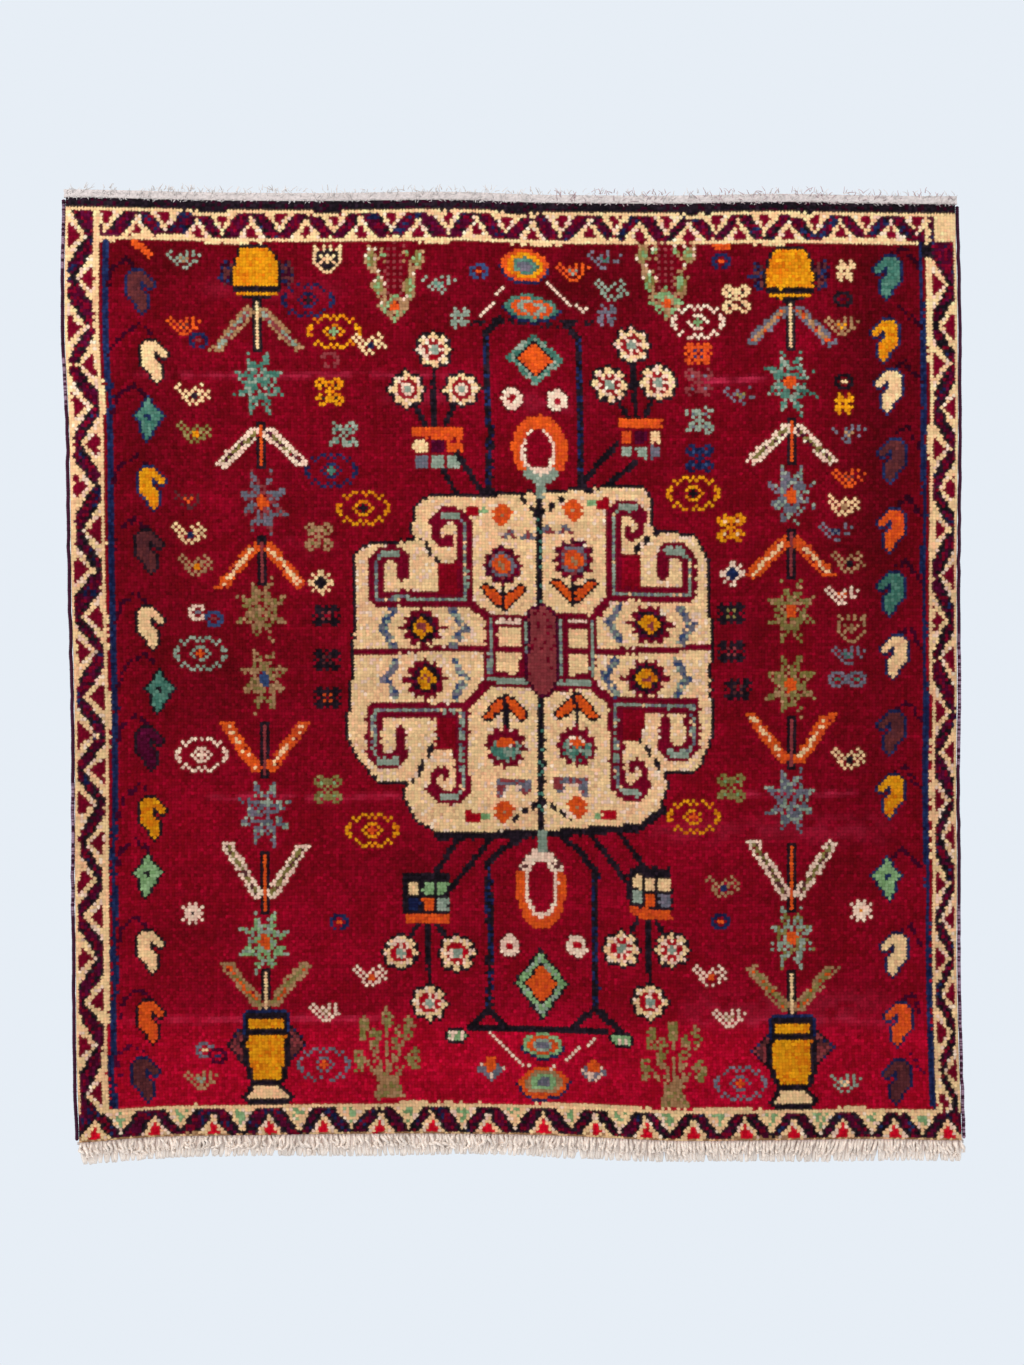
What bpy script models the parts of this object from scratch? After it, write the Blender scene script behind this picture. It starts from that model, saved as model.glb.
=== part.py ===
"""A small square hand-knotted wool rug, hanging flat from its top edge.

X runs to the right, Z runs up and the pile faces -Y. The origin is the middle of the
top edge of the upper flat-woven end, on the back of the rug.
"""

import math
import random

import bmesh
import bpy
import numpy as np

MM = 0.001

# Driving dimensions, in metres
PILE_CLOTH_THICKNESS = 8.0 * MM
SELVEDGE_RADIUS = 1.4 * MM
SELVEDGE_DEPTH = 2.6 * MM
FLAT_WEAVE_THICKNESS = 2.2 * MM
TOP_STRIP_HEIGHT = 6.2 * MM
BOTTOM_STRIP_HEIGHT = 6.0 * MM
PIECE_GAP = 0.3 * MM
CLOTH_COLUMNS = 24
CLOTH_ROWS = 26
SELVEDGE_POINTS = 27

# The rug is a little out of square, as woven. Each row is a share of the way down the
# pile, then how far its outer edges stand left and right of the middle, in mm.
SIDES = np.array(
    [
        (0.00, -326.8, 323.1),
        (0.10, -328.0, 324.9),
        (0.17, -327.4, 325.1),
        (0.23, -324.2, 325.5),
        (0.40, -323.0, 324.2),
        (0.53, -320.6, 324.6),
        (0.62, -320.0, 323.5),
        (0.72, -320.1, 324.4),
        (0.80, -319.1, 323.2),
        (0.92, -318.4, 325.0),
        (1.00, -315.9, 327.1),
    ]
)
# Each row is a share of the way across, then the height of the pile's top and bottom
# edges, in mm.
ENDS = np.array(
    [
        (0.00, -3.5, -687.9),
        (0.08, -4.5, -682.8),
        (0.15, -5.8, -682.1),
        (0.28, -6.5, -681.4),
        (0.44, -5.1, -681.6),
        (0.53, -7.8, -682.1),
        (0.60, -8.0, -683.9),
        (0.68, -8.5, -686.8),
        (0.80, -6.6, -686.4),
        (0.90, -8.2, -684.6),
        (1.00, -8.7, -685.3),
    ]
)
# An edge is read as the mean of its table over this share to each side, so it bends softly.
SOFTENING = 0.04

# The upper part hangs flat, with its back at Y = 0. Below it the cloth bows forward in
# soft waves.
FLAT_SHARE = 0.42
WAVE_HEIGHT = 3.2 * MM
WAVES_ACROSS = 2.5
LEFT_CORNER_LIFT = 5.0 * MM
RIGHT_CORNER_LIFT = 3.0 * MM

# Locks of the warp ends: how many, how long, how many steps each has, how wide its root
# is as a share of the pitch, and how much is left of its section at its end
TOP_LOCKS = {"count": 100, "length": 7.0 * MM, "steps": 2, "root": 0.72, "end": 0.55}
BOTTOM_LOCKS = {"count": 136, "length": 11.5 * MM, "steps": 3, "root": 0.74, "end": 0.5}
LOCK_LENGTH_SPREAD = 0.22
LOCK_LEAN = 0.8 * MM
LOCK_STRAY = 0.2 * MM
LOCK_CURL = 1.3 * MM

WINE_RED = (0.27, 0.006, 0.022)
AUBERGINE = (0.035, 0.006, 0.018)
UNDYED_WOOL = (0.74, 0.66, 0.54)


def read_edge(table, column, share):
    """The value of one column of SIDES or ENDS at this share, in metres."""
    near = np.clip(share + np.linspace(-SOFTENING, SOFTENING, 9), 0, 1)
    return float(np.interp(near, table[:, 0], table[:, column]).mean()) * MM


def side_edges(down):
    """Where the outer edges of the rug are, this share of the way down."""
    return read_edge(SIDES, 1, down), read_edge(SIDES, 2, down)


def stand_off(across, down):
    """How far the back of the rug stands in front of the flat upper part."""
    below = min(max((down - FLAT_SHARE) / (1 - FLAT_SHARE), 0), 1)
    growth = below * below * (3 - 2 * below)
    wave = 0.5 - 0.5 * math.cos(2 * math.pi * WAVES_ACROSS * across)
    left_lift = LEFT_CORNER_LIFT * max(1 - 2 * across, 0) ** 3
    right_lift = RIGHT_CORNER_LIFT * max(2 * across - 1, 0) ** 3
    return growth * (WAVE_HEIGHT * wave + below * (left_lift + right_lift))


def place(across, down, inset=0.0, drop=0.0):
    """A point on the back: shares of the way across and down, inside the outer edges by
    inset, and lower by drop."""
    left, right = side_edges(down)
    x = left + inset + across * (right - left - 2 * inset)
    top = read_edge(ENDS, 1, across)
    bottom = read_edge(ENDS, 2, across)
    z = top + down * (bottom - top) - drop
    return x, -stand_off(across, down), z


def plain_material(name, colour, roughness):
    material = bpy.data.materials.new(name)
    material.use_nodes = True
    shader = material.node_tree.nodes["Principled BSDF"]
    shader.inputs["Base Color"].default_value = (*colour, 1)
    shader.inputs["Roughness"].default_value = roughness
    shader.inputs["Metallic"].default_value = 0
    material.diffuse_color = (*colour, 1)
    return material


def grid_bmesh(name, columns, rows):
    """A new grid object and its editable mesh, with points from -0.5 to 0.5 both ways."""
    bpy.ops.mesh.primitive_grid_add(x_subdivisions=columns, y_subdivisions=rows, size=1)
    piece = bpy.context.active_object
    piece.name = name
    piece.data.name = name
    cage = bmesh.new()
    cage.from_mesh(piece.data)
    return piece, cage


def thicken(cage, depth):
    """Extrudes the whole sheet straight out towards the front, into one closed body."""
    made = bmesh.ops.extrude_face_region(cage, geom=cage.faces[:], use_keep_orig=True)
    points = [part for part in made["geom"] if isinstance(part, bmesh.types.BMVert)]
    bmesh.ops.translate(cage, verts=points, vec=(0, -depth, 0))
    bmesh.ops.recalc_face_normals(cage, faces=cage.faces[:])


def finish_piece(piece, cage, material):
    cage.to_mesh(piece.data)
    cage.free()
    piece.data.materials.append(material)
    for holder in piece.users_collection:
        holder.objects.unlink(piece)
    rug.objects.link(piece)


def make_pile_cloth():
    """The knotted cloth: warps, wefts and the cut pile, as one slab."""
    piece, cage = grid_bmesh("pile_cloth", CLOTH_COLUMNS, CLOTH_ROWS)
    inset = 2 * SELVEDGE_RADIUS + PIECE_GAP
    for point in cage.verts:
        point.co = place(point.co.x + 0.5, 0.5 - point.co.y, inset)
    thicken(cage, PILE_CLOTH_THICKNESS)
    finish_piece(piece, cage, plain_material("pile_wool", WINE_RED, 0.9))


def make_selvedge(name, across, inward):
    """One side cord: the outermost warps, overcast with dark wool."""
    path = bpy.data.curves.new(name, "CURVE")
    path.dimensions = "3D"
    path.bevel_depth = SELVEDGE_RADIUS
    path.bevel_resolution = 2
    path.use_fill_caps = True
    line = path.splines.new("POLY")
    line.points.add(SELVEDGE_POINTS - 1)
    for index, point in enumerate(line.points):
        x, y, z = place(across, index / (SELVEDGE_POINTS - 1))
        point.co = (x + inward * SELVEDGE_RADIUS, y - SELVEDGE_DEPTH, z, 1)
    path.materials.append(overcast_wool)
    rug.objects.link(bpy.data.objects.new(name, path))


def draw_out_lock(cage, face, locks, outward, chance):
    """Draws one lock of warp ends out of a face on the edge of its strip."""
    length = locks["length"] * (1 + LOCK_LENGTH_SPREAD * (2 * chance.random() - 1))
    across = face.calc_center_median().x
    lean = LOCK_LEAN * math.sin(across * 31) + LOCK_LEAN * math.sin(across * 83 + 1)
    lean += LOCK_STRAY * (2 * chance.random() - 1)
    curl = LOCK_CURL * chance.random()
    steps = locks["steps"]
    for step in range(1, steps + 1):
        face = bmesh.ops.extrude_discrete_faces(cage, faces=[face])["faces"][0]
        reach = step / steps
        move = (lean / steps, -curl * (2 * reach - 0.6) / steps, outward * length / steps)
        bmesh.ops.translate(cage, verts=face.verts, vec=move)
        left_over = 1 - (1 - locks["end"]) * reach
        centre = face.calc_center_median()
        before = 1 - (1 - locks["end"]) * (step - 1) / steps
        for point in face.verts:
            point.co = centre + (point.co - centre) * (left_over / before)


def make_end_band(name, down, outward, height, locks, seed):
    """A flat-woven end strip with its locks of warp ends, which stand apart."""
    columns = 2 * locks["count"] + 1
    piece, cage = grid_bmesh(name, columns, 1)
    widening = locks["root"] - 0.5
    for point in cage.verts:
        column = round((point.co.x + 0.5) * columns)
        if 0 < column < columns:
            column += -widening if column % 2 else widening
        outer = (point.co.y > 0) == (outward > 0)
        drop = -outward * (PIECE_GAP + (height if outer else 0))
        point.co = place(column / columns, down, SELVEDGE_RADIUS, drop)
    thicken(cage, FLAT_WEAVE_THICKNESS)
    chance = random.Random(seed)
    edge = [face for face in cage.faces if face.normal.z * outward > 0.9]
    edge.sort(key=lambda face: face.calc_center_median().x)
    for face in edge[1::2]:
        draw_out_lock(cage, face, locks, outward, chance)
    bmesh.ops.recalc_face_normals(cage, faces=cage.faces[:])
    finish_piece(piece, cage, warp_wool)


for leftover in list(bpy.data.objects):
    bpy.data.objects.remove(leftover, do_unlink=True)

rug = bpy.data.collections.new("hand_knotted_rug")
bpy.context.scene.collection.children.link(rug)
overcast_wool = plain_material("overcast_wool", AUBERGINE, 0.85)
warp_wool = plain_material("warp_wool", UNDYED_WOOL, 0.9)

make_pile_cloth()
make_selvedge("selvedge_left", 0, 1)
make_selvedge("selvedge_right", 1, -1)
make_end_band("end_band_top", 0, 1, TOP_STRIP_HEIGHT, TOP_LOCKS, seed=3)
make_end_band("end_band_bottom", 1, -1, BOTTOM_STRIP_HEIGHT, BOTTOM_LOCKS, seed=8)
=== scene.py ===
import math

import bpy
import numpy as np
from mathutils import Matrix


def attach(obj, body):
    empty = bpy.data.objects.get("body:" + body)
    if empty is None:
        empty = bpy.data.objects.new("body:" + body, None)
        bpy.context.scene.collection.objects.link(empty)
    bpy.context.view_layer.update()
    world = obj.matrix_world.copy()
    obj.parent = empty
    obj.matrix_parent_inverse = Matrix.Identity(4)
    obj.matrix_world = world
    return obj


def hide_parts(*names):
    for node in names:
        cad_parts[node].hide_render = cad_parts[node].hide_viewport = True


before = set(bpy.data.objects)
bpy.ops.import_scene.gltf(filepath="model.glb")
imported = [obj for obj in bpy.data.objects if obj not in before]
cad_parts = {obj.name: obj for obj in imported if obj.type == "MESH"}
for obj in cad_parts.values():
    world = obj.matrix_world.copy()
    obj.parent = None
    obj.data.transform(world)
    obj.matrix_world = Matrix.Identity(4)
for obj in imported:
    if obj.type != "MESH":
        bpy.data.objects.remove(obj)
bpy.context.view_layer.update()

# The chart
# The weaver ties wool round pairs of warps, 280 knots across and 296 rows down, one dye a knot.
# So the whole design is a chart of dyes on squares, which the pile and the back of the rug both show.
KNOTS_ACROSS = 280
KNOT_ROWS = 296
DYES = {
    "wine": (112, 2, 16),
    "crimson": (146, 3, 20),
    "dark_wine": (84, 2, 17),
    "soot": (19, 14, 19),
    "navy": (21, 24, 58),
    "aubergine": (62, 3, 26),
    "maroon": (108, 2, 28),
    "thorn": (60, 3, 30),
    "cream": (243, 203, 146),
    "rose": (240, 192, 168),
    "gold": (228, 152, 18),
    "orange": (228, 88, 24),
    "teal": (60, 108, 92),
    "sage": (130, 144, 124),
    "slate": (96, 98, 106),
    "tan": (156, 112, 74),
    "olive": (122, 108, 52),
    "brown": (80, 36, 40),
    "leaf": (118, 152, 98),
    "mauve": (136, 50, 54),
    "blue": (52, 70, 108),
}
DYE_NAMES = list(DYES)
chart = np.full((KNOT_ROWS, KNOTS_ACROSS), DYE_NAMES.index("wine"))
knot_columns, knot_rows = np.meshgrid(np.arange(KNOTS_ACROSS) + 0.5, np.arange(KNOT_ROWS) + 0.5)
every_other = (np.floor(knot_columns) + np.floor(knot_rows)) % 2 == 0
weaver = np.random.default_rng(11)


def smooth_noise(shape_wanted, cells, seed):
    """A soft random field from -1 to 1 that changes over this many cells down and across."""
    points = np.random.default_rng(seed).uniform(-1, 1, (cells[0] + 1, cells[1] + 1))
    down = np.linspace(0, cells[0], shape_wanted[0], endpoint=False)
    across = np.linspace(0, cells[1], shape_wanted[1], endpoint=False)
    row, column = down.astype(int), across.astype(int)
    v, u = (down - row)[:, None], (across - column)[None, :]
    v, u = v * v * (3 - 2 * v), u * u * (3 - 2 * u)
    upper = points[row][:, column] * (1 - u) + points[row][:, column + 1] * u
    lower = points[row + 1][:, column] * (1 - u) + points[row + 1][:, column + 1] * u
    return upper * (1 - v) + lower * v


# No line is tied quite straight: it strays a knot here and there, and its edge is ragged.
RAGGEDNESS = 0.16
columns = knot_columns + 0.45 * smooth_noise(chart.shape, (24, 20), 12)
columns = columns + weaver.uniform(-RAGGEDNESS, RAGGEDNESS, chart.shape)
rows = knot_rows + 0.6 * smooth_noise(chart.shape, (20, 24), 13)
rows = rows + weaver.uniform(-RAGGEDNESS, RAGGEDNESS, chart.shape)


def tie(knots, dye, **flecks):
    """Ties these knots in one dye, then a share of them again in each of the other dyes."""
    chart[knots] = DYE_NAMES.index(dye)
    for second, share in flecks.items():
        fleck(knots, second, share)


def fleck(knots, dye, share):
    tie(knots & (weaver.random(chart.shape) < share), dye)


def tied_in(*names):
    return np.isin(chart, [DYE_NAMES.index(name) for name in names])


def block(left, top, right, bottom):
    return (columns > left) & (columns < right) & (rows > top) & (rows < bottom)


def line(width, *points):
    near = np.zeros(chart.shape, bool)
    for (x0, y0), (x1, y1) in zip(points, points[1:]):
        run, fall = x1 - x0, y1 - y0
        along = np.clip(((columns - x0) * run + (rows - y0) * fall) / (run**2 + fall**2), 0, 1)
        near |= np.hypot(columns - x0 - along * run, rows - y0 - along * fall) <= width / 2
    return near


def around(knots, reach=1):
    grown = knots.copy()
    for _ in range(reach):
        wider = grown.copy()
        wider[1:] |= grown[:-1]
        wider[:-1] |= grown[1:]
        wider[:, 1:] |= grown[:, :-1]
        wider[:, :-1] |= grown[:, 1:]
        grown = wider
    return grown & ~knots


# The border
# A meander of aubergine and black runs round all four sides between cream guard lines.
# Cream triangles with small hearts stand on both guards, and no two sides repeat at the same pitch.
TIP_REACH = 1.08
HEART_WIDTH = 0.52
HEART_REACH = 0.8
HEART_TIP = 0.6
dark_batch = smooth_noise(chart.shape, (70, 64), 17)


def lay_border(depth, along, within, width, guards, outward, inward, base, tall, edging, hearts):
    """One side, where depth counts knots from the rug's edge and along counts them beside it.

    Each triangle is base knots wide to each side, and a tall share of the meander's width in height.
    """
    first, last = guards
    reach = (last - first) * tall
    in_border = within & (depth < width)
    meander = in_border & (depth > first) & (depth < last)
    triangles = np.zeros(chart.shape, bool)
    middles = np.zeros((2, *chart.shape), bool)
    for number, (centres, rise) in enumerate(((outward, depth - first), (inward, last - depth))):
        for centre in centres:
            aside = np.abs(along - centre - 0.5)
            triangles |= aside < base * (1 - rise / reach) + 0.2
            triangles |= (aside < 0.7) & (rise < reach * TIP_REACH)
            heart = (aside < base * HEART_WIDTH * (1 - rise / (reach * HEART_REACH))) & (rise > 0.1)
            middles[number] |= heart | (aside < 0.6) & (rise < reach * HEART_TIP)
    triangles &= meander
    near = around(triangles)
    tie(in_border, "cream")
    tie(meander, "aubergine", maroon=0.3)
    fleck(meander & (dark_batch > 0.3), "navy", 0.35)
    fleck(meander & near, "soot", edging)
    fleck(meander & around(triangles | near), "soot", edging * 0.35)
    tie(triangles, "cream", rose=0.3)
    tie(triangles & middles[0], hearts[0])
    tie(triangles & middles[1], hearts[1])


everywhere = np.ones(chart.shape, bool)
lay_border(
    rows,
    columns,
    everywhere,
    width=13.2,
    guards=(4.3, 11.7),
    outward=(13, 31, 49, 67, 84.5, 102, 120, 138, 155.5, 172, 188.5, 204, 219.5, 235, 251, 267),
    inward=(22.5, 41, 58.5, 75.5, 92.5, 110.5, 129, 146.5, 164, 179.5, 195.5, 211, 227, 243, 259),
    base=4.4,
    tall=0.75,
    edging=0.4,
    hearts=("maroon", "maroon"),
)
lay_border(
    KNOT_ROWS - rows,
    columns,
    everywhere,
    width=10.4,
    guards=(0.9, 8.9),
    outward=(5, 24, 42, 60, 77, 95, 111.5, 129, 147, 164, 179.6, 195, 211, 226.5, 242, 258, 275),
    inward=(13, 32, 51, 69, 86, 104, 121, 138, 156, 171.5, 187, 203, 219.5, 235, 251, 267),
    base=4.5,
    tall=0.75,
    edging=1.0,
    hearts=("crimson", "leaf"),
)
fleck((rows > KNOT_ROWS - 10) & tied_in("leaf"), "cream", 0.35)
beside = (rows > 4.2) & (rows < KNOT_ROWS - 9.4)
lay_border(
    columns * np.interp(rows, (0, 150, 240, 290), (0.94, 0.9, 0.95, 1.1)),
    rows,
    beside,
    width=10.4,
    guards=(1.1, 8.9),
    outward=(12, 40, 65, 90, 116, 142, 168, 190, 213, 238, 265),
    inward=(25, 52, 77, 104, 131, 156, 179, 202, 225, 251, 280),
    base=8.4,
    tall=0.7,
    edging=0.75,
    hearts=("maroon", "maroon"),
)
lay_border(
    (KNOTS_ACROSS - columns) * (0.94 + 0.33 * rows / KNOT_ROWS),
    rows,
    beside,
    width=9.6,
    guards=(1.1, 8.1),
    outward=(38, 64, 90, 117, 143, 173, 199, 225, 249, 273),
    inward=(25, 50, 77, 103, 131, 160, 188, 214, 238, 261, 283),
    base=8.4,
    tall=0.7,
    edging=0.85,
    hearts=("maroon", "maroon"),
)
tie(rows < 3.2, "soot", thorn=0.2)
fleck((KNOT_ROWS - rows) < 1, "tan", 0.6)
tie(block(273, 4, KNOTS_ACROSS + 1, 12), "cream")
tie(block(269.4, 12.6, 272.4, 17), "soot")
tie(line(2.0, (13.2, 13), (13.1, 150), (12.6, 240), (11.3, 285)), "navy")
tie(line(1.6, (268.4, 13), (271.2, 285)), "navy")


# The botehs
# A hooked drop, the boteh, stands thirteen times down each side of the field, in a new dye each time.
# A thin dark vine joins them, and its tip touches the navy line inside the guard.
def stamp(motif, x, y, dyes, mirror=False):
    """Ties a small chart, where 1 and 2 are the first and the second of these dyes."""
    lines = [text[::-1] if mirror else text for text in motif.split()]
    left = round(x - len(lines[0]) / 2)
    top = round(y - len(lines) / 2)
    for down, text in enumerate(lines):
        for across, mark in enumerate(text):
            if mark != ".":
                chart[top + down, left + across] = DYE_NAMES.index(dyes[int(mark) - 1])


BOTEH = """
....2222..
...211112.
..21111112
.211111112
2111211112
2112211112
.22.211112
...2111112
..21111112
..2111112.
..211112..
..21112...
..21112...
...212....
....2.....
"""
LEAF_BOTEH = """
.....2.....
....212....
....2112...
...21112...
..2111112..
.211111112.
21111221112
.211121112.
..2111112..
..2111112..
...211112..
....21112..
....2112...
.....212...
......2....
"""
LEFT_BOTEHS = (
    (24, 30, "brown", "navy", BOTEH),
    (28, 51, "cream", "soot", BOTEH),
    (25, 70, "teal", "navy", LEAF_BOTEH),
    (26, 92, "gold", "navy", BOTEH),
    (25, 112, "brown", "soot", BOTEH),
    (25, 135, "cream", "soot", BOTEH),
    (27, 155, "teal", "soot", LEAF_BOTEH),
    (24, 173, "aubergine", "soot", BOTEH),
    (25, 196, "gold", "soot", BOTEH),
    (24, 213, "leaf", "soot", LEAF_BOTEH),
    (24, 237, "cream", "soot", BOTEH),
    (24, 260, "orange", "soot", BOTEH),
    (22, 277, "brown", "navy", BOTEH),
)
RIGHT_BOTEHS = (
    (258, 24, "teal", "navy", BOTEH),
    (257, 43, "gold", "navy", BOTEH),
    (258, 60, "cream", "navy", BOTEH),
    (259, 81, "brown", "navy", BOTEH),
    (259, 103, "orange", "navy", BOTEH),
    (259, 123, "teal", "navy", BOTEH),
    (260, 144, "cream", "navy", BOTEH),
    (259, 167, "brown", "navy", BOTEH),
    (259, 188, "gold", "navy", BOTEH),
    (258, 214, "leaf", "navy", LEAF_BOTEH),
    (260, 238, "cream", "navy", BOTEH),
    (261, 259, "orange", "navy", BOTEH),
    (260, 278, "brown", "navy", BOTEH),
)
for x, y, dye, edge, form in LEFT_BOTEHS:
    fleck(line(1.5, (x - 1, y - 8), (x - 4, y - 11), (x - 9, y - 8), (14, y - 2)), "thorn", 0.7)
    stamp(form, x, y, (dye, edge), mirror=True)
for x, y, dye, edge, form in RIGHT_BOTEHS:
    fleck(line(1.5, (x + 2, y - 8), (x + 5, y - 10), (268, y - 4)), "thorn", 0.7)
    stamp(form, x, y, (dye, edge))


# The stem columns
# On each side of the medallion a stem runs from a vase that hangs at the top to one that stands at the foot.
# It carries eight-pointed stars and pairs of leaves like wings, in the dyes that were at hand.
def oval(x, y, half_width, half_height):
    return ((columns - x) / half_width) ** 2 + ((rows - y) / half_height) ** 2 <= 1


def shape(*corners):
    inside = np.zeros(chart.shape, bool)
    for (x0, y0), (x1, y1) in zip(corners, corners[1:] + corners[:1]):
        if y0 != y1:
            crossed = (rows > min(y0, y1)) & (rows <= max(y0, y1))
            inside ^= crossed & (columns < x0 + (rows - y0) * (x1 - x0) / (y1 - y0))
    return inside


def outlined(knots, dye, edge, reach=1, **flecks):
    tie(around(knots, reach), edge)
    tie(knots, dye, **flecks)


def star(x, y, dye, second, heart=None):
    """Eight points on an oval, with the corners between them half as far out."""
    corners = []
    for number in range(16):
        turn = math.radians(22.5 * number)
        size = 1.0 if number % 2 else 0.5
        corners.append((x + 0.5 + 8.9 * size * math.cos(turn), y + 11.6 * size * math.sin(turn)))
    body = shape(*corners)
    tie(body, dye)
    fleck(body, second, 0.3)
    fleck(body, "wine", 0.24)
    if heart:
        tie(oval(x + 0.5, y, 1.8, 2.3), heart)


def stem(x, top, bottom, core):
    aside = np.abs(knot_columns - x - 0.5)
    tie((aside < 1.6) & (rows > top) & (rows < bottom), "soot")
    tie((aside < 0.6) & (rows > top + 1) & (rows < bottom - 1), core)


def wings(x, root, tip, edge, core, fleck_dye):
    way = math.copysign(1, tip - root)
    for side in (-1, 1):
        foot = x + 0.5 + side * 2.4
        low, high = (foot, root + way * 2.6), (foot + side * 9.4, tip - way * 1.4)
        end = shape(
            (foot + side * 7.4, tip), (foot + side * 12.6, tip), (foot + side * 10.6, tip - way * 2.6),
            (foot + side * 8.4, tip - way * 2.6),
        )
        leaf = line(3.7, low, high) | end
        tie(leaf, edge, wine=0.12)
        tie(line(1.4, low, high), core)
        fleck(line(1.4, low, high), fleck_dye, 0.4)


def hanging_vase(x, y):
    lugs = oval(x - 9, y + 1, 2.2, 4) | oval(x + 10, y + 1, 2.2, 4)
    tie(lugs, "brown", thorn=0.4)
    fleck(lugs | around(lugs), "navy", 0.25)
    dome = shape(
        (x - 4, y - 7), (x + 4, y - 7), (x + 6.5, y - 4), (x + 7.4, y), (x + 7.4, y + 5),
        (x - 7, y + 5), (x - 7, y + 1), (x - 5.6, y - 4),
    )
    outlined(dome, "gold", "soot")
    tie(block(x - 7, y + 5, x + 8, y + 6.9), "soot")
    tie(block(x - 6, y + 6.9, x + 7, y + 8), "gold")
    tie(block(x - 4, y + 8, x + 5, y + 9), "soot")


def standing_vase(x, y):
    for side in (-1, 1):
        handle = x + 0.5 + side * 7.6
        loop = shape((handle, y - 9), (handle + side * 4.6, y - 4), (handle, y + 1))
        outlined(loop, "brown", "soot")
        fleck(around(loop), "navy", 0.4)
        fleck(loop, "mauve", 0.4)
    outlined(block(x - 6, y - 14, x + 7, y - 6), "soot", "navy")
    tie(block(x - 5, y - 12, x + 6, y - 9), "gold")
    body = shape(
        (x - 5.5, y - 7), (x + 6.5, y - 7), (x + 6.5, y + 1), (x + 4.5, y + 7),
        (x - 3.5, y + 7), (x - 5.5, y + 1),
    )
    outlined(body, "gold", "soot", reach=2)
    foot = shape((x - 3, y + 9), (x + 4, y + 9), (x + 7, y + 13), (x - 6, y + 13))
    outlined(foot, "cream", "soot", reach=2)


hanging_vase(60, 22)
stem(60, 31, 48, "cream")
wings(60, 33, 47, "tan", "sage", "mauve")
star(60, 58, "teal", "sage")
stem(60, 70, 85, "orange")
wings(60, 71, 84, "rose", "olive", "aubergine")
star(60, 96, "slate", "mauve", "orange")
stem(60, 107, 122, "mauve")
wings(60, 108, 122.5, "orange", "cream", "orange")
star(60, 130, "tan", "olive")
star(60, 152, "tan", "olive", "blue")
stem(60, 165, 183, "mauve")
wings(60, 182, 165, "orange", "cream", "orange")
star(60, 194, "slate", "sage")
stem(60, 206, 226, "orange")
wings(60, 222, 203.5, "rose", "olive", "brown")
star(60, 235, "leaf", "sage", "orange")
stem(60, 243, 259, "cream")
wings(60, 256, 241.5, "tan", "olive", "orange")
standing_vase(60, 271)

hanging_vase(227, 22)
stem(227, 31, 47, "cream")
wings(227, 31.5, 45, "slate", "tan", "orange")
star(227, 57, "teal", "sage", "orange")
stem(227, 68, 83, "orange")
wings(227, 69, 82, "rose", "olive", "aubergine")
star(227, 93, "slate", "sage", "orange")
stem(227, 103, 119, "mauve")
wings(227, 105, 118, "orange", "cream", "orange")
star(227, 129, "olive", "tan", "orange")
star(227, 152, "olive", "tan", "orange")
stem(227, 162, 179, "mauve")
wings(227, 178, 161, "orange", "cream", "orange")
star(227, 189, "slate", "sage")
stem(227, 202, 224, "orange")
wings(227, 220, 201.5, "rose", "olive", "brown")
star(227, 232, "sage", "olive", "orange")
stem(227, 242, 259, "cream")
wings(227, 256, 241, "tan", "olive", "orange")
standing_vase(227, 271)


# The fillers
# Small combs, birds, hooked rings, crosses and flowers fill the field between the columns.
# Each is a few knots wide, tied from habit, and the same figure comes back in other dyes.
COMB = """
.1....1.1..
1.1.1.1.1.1
.1.1212.1..
..1.121.11.
...1.1.1...
....111....
"""
BIRD = """
.1......1..
1.1...1..1.
.1.1.1.11.1
..1.1221.1.
..11.22.1.1
...1.1.11..
....1.1....
"""
HOOKED_RING = """
.....11.1.11.....
..1.1..1.1..1.1..
...1.........1...
.1.....111.....1.
11....1.2.1....11
1....1.222.1....1
11....1.2.1....11
.1.....111.....1.
...1.........1...
..1.1..1.1..1.1..
.....11.1.11.....
"""
QUATREFOIL = """
.11...11.
1.1111.11
112111211
.11.1.11.
...111...
.11.1.11.
112111211
11.1111.1
.11...11.
"""
EYED_FLOWER = """
1..1.1..1
11.121.11
122222221
121212121
122111221
121212121
.1222221.
..12221..
...111...
"""
HASH = """
.1..1.
.11.11
111111
.1.1..
111111
11.11.
.1..1.
"""
SNOWFLAKE = """
..1.1..
1.111.1
.11111.
.112111
.11111.
1.111.1
..1.1..
"""
SMALL_STAR = """
...11...
.1.11.1.
..1221..
11222211
11222211
..1221..
.1.11.1.
...11...
"""
STACK = """
.11.1.11.
111111111
.1121211.
1.11.11.1
.1121211.
111111111
.11.1.11.
"""
RING = """
.1111.
11..11
1.22.1
11..11
.1111.
"""
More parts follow.
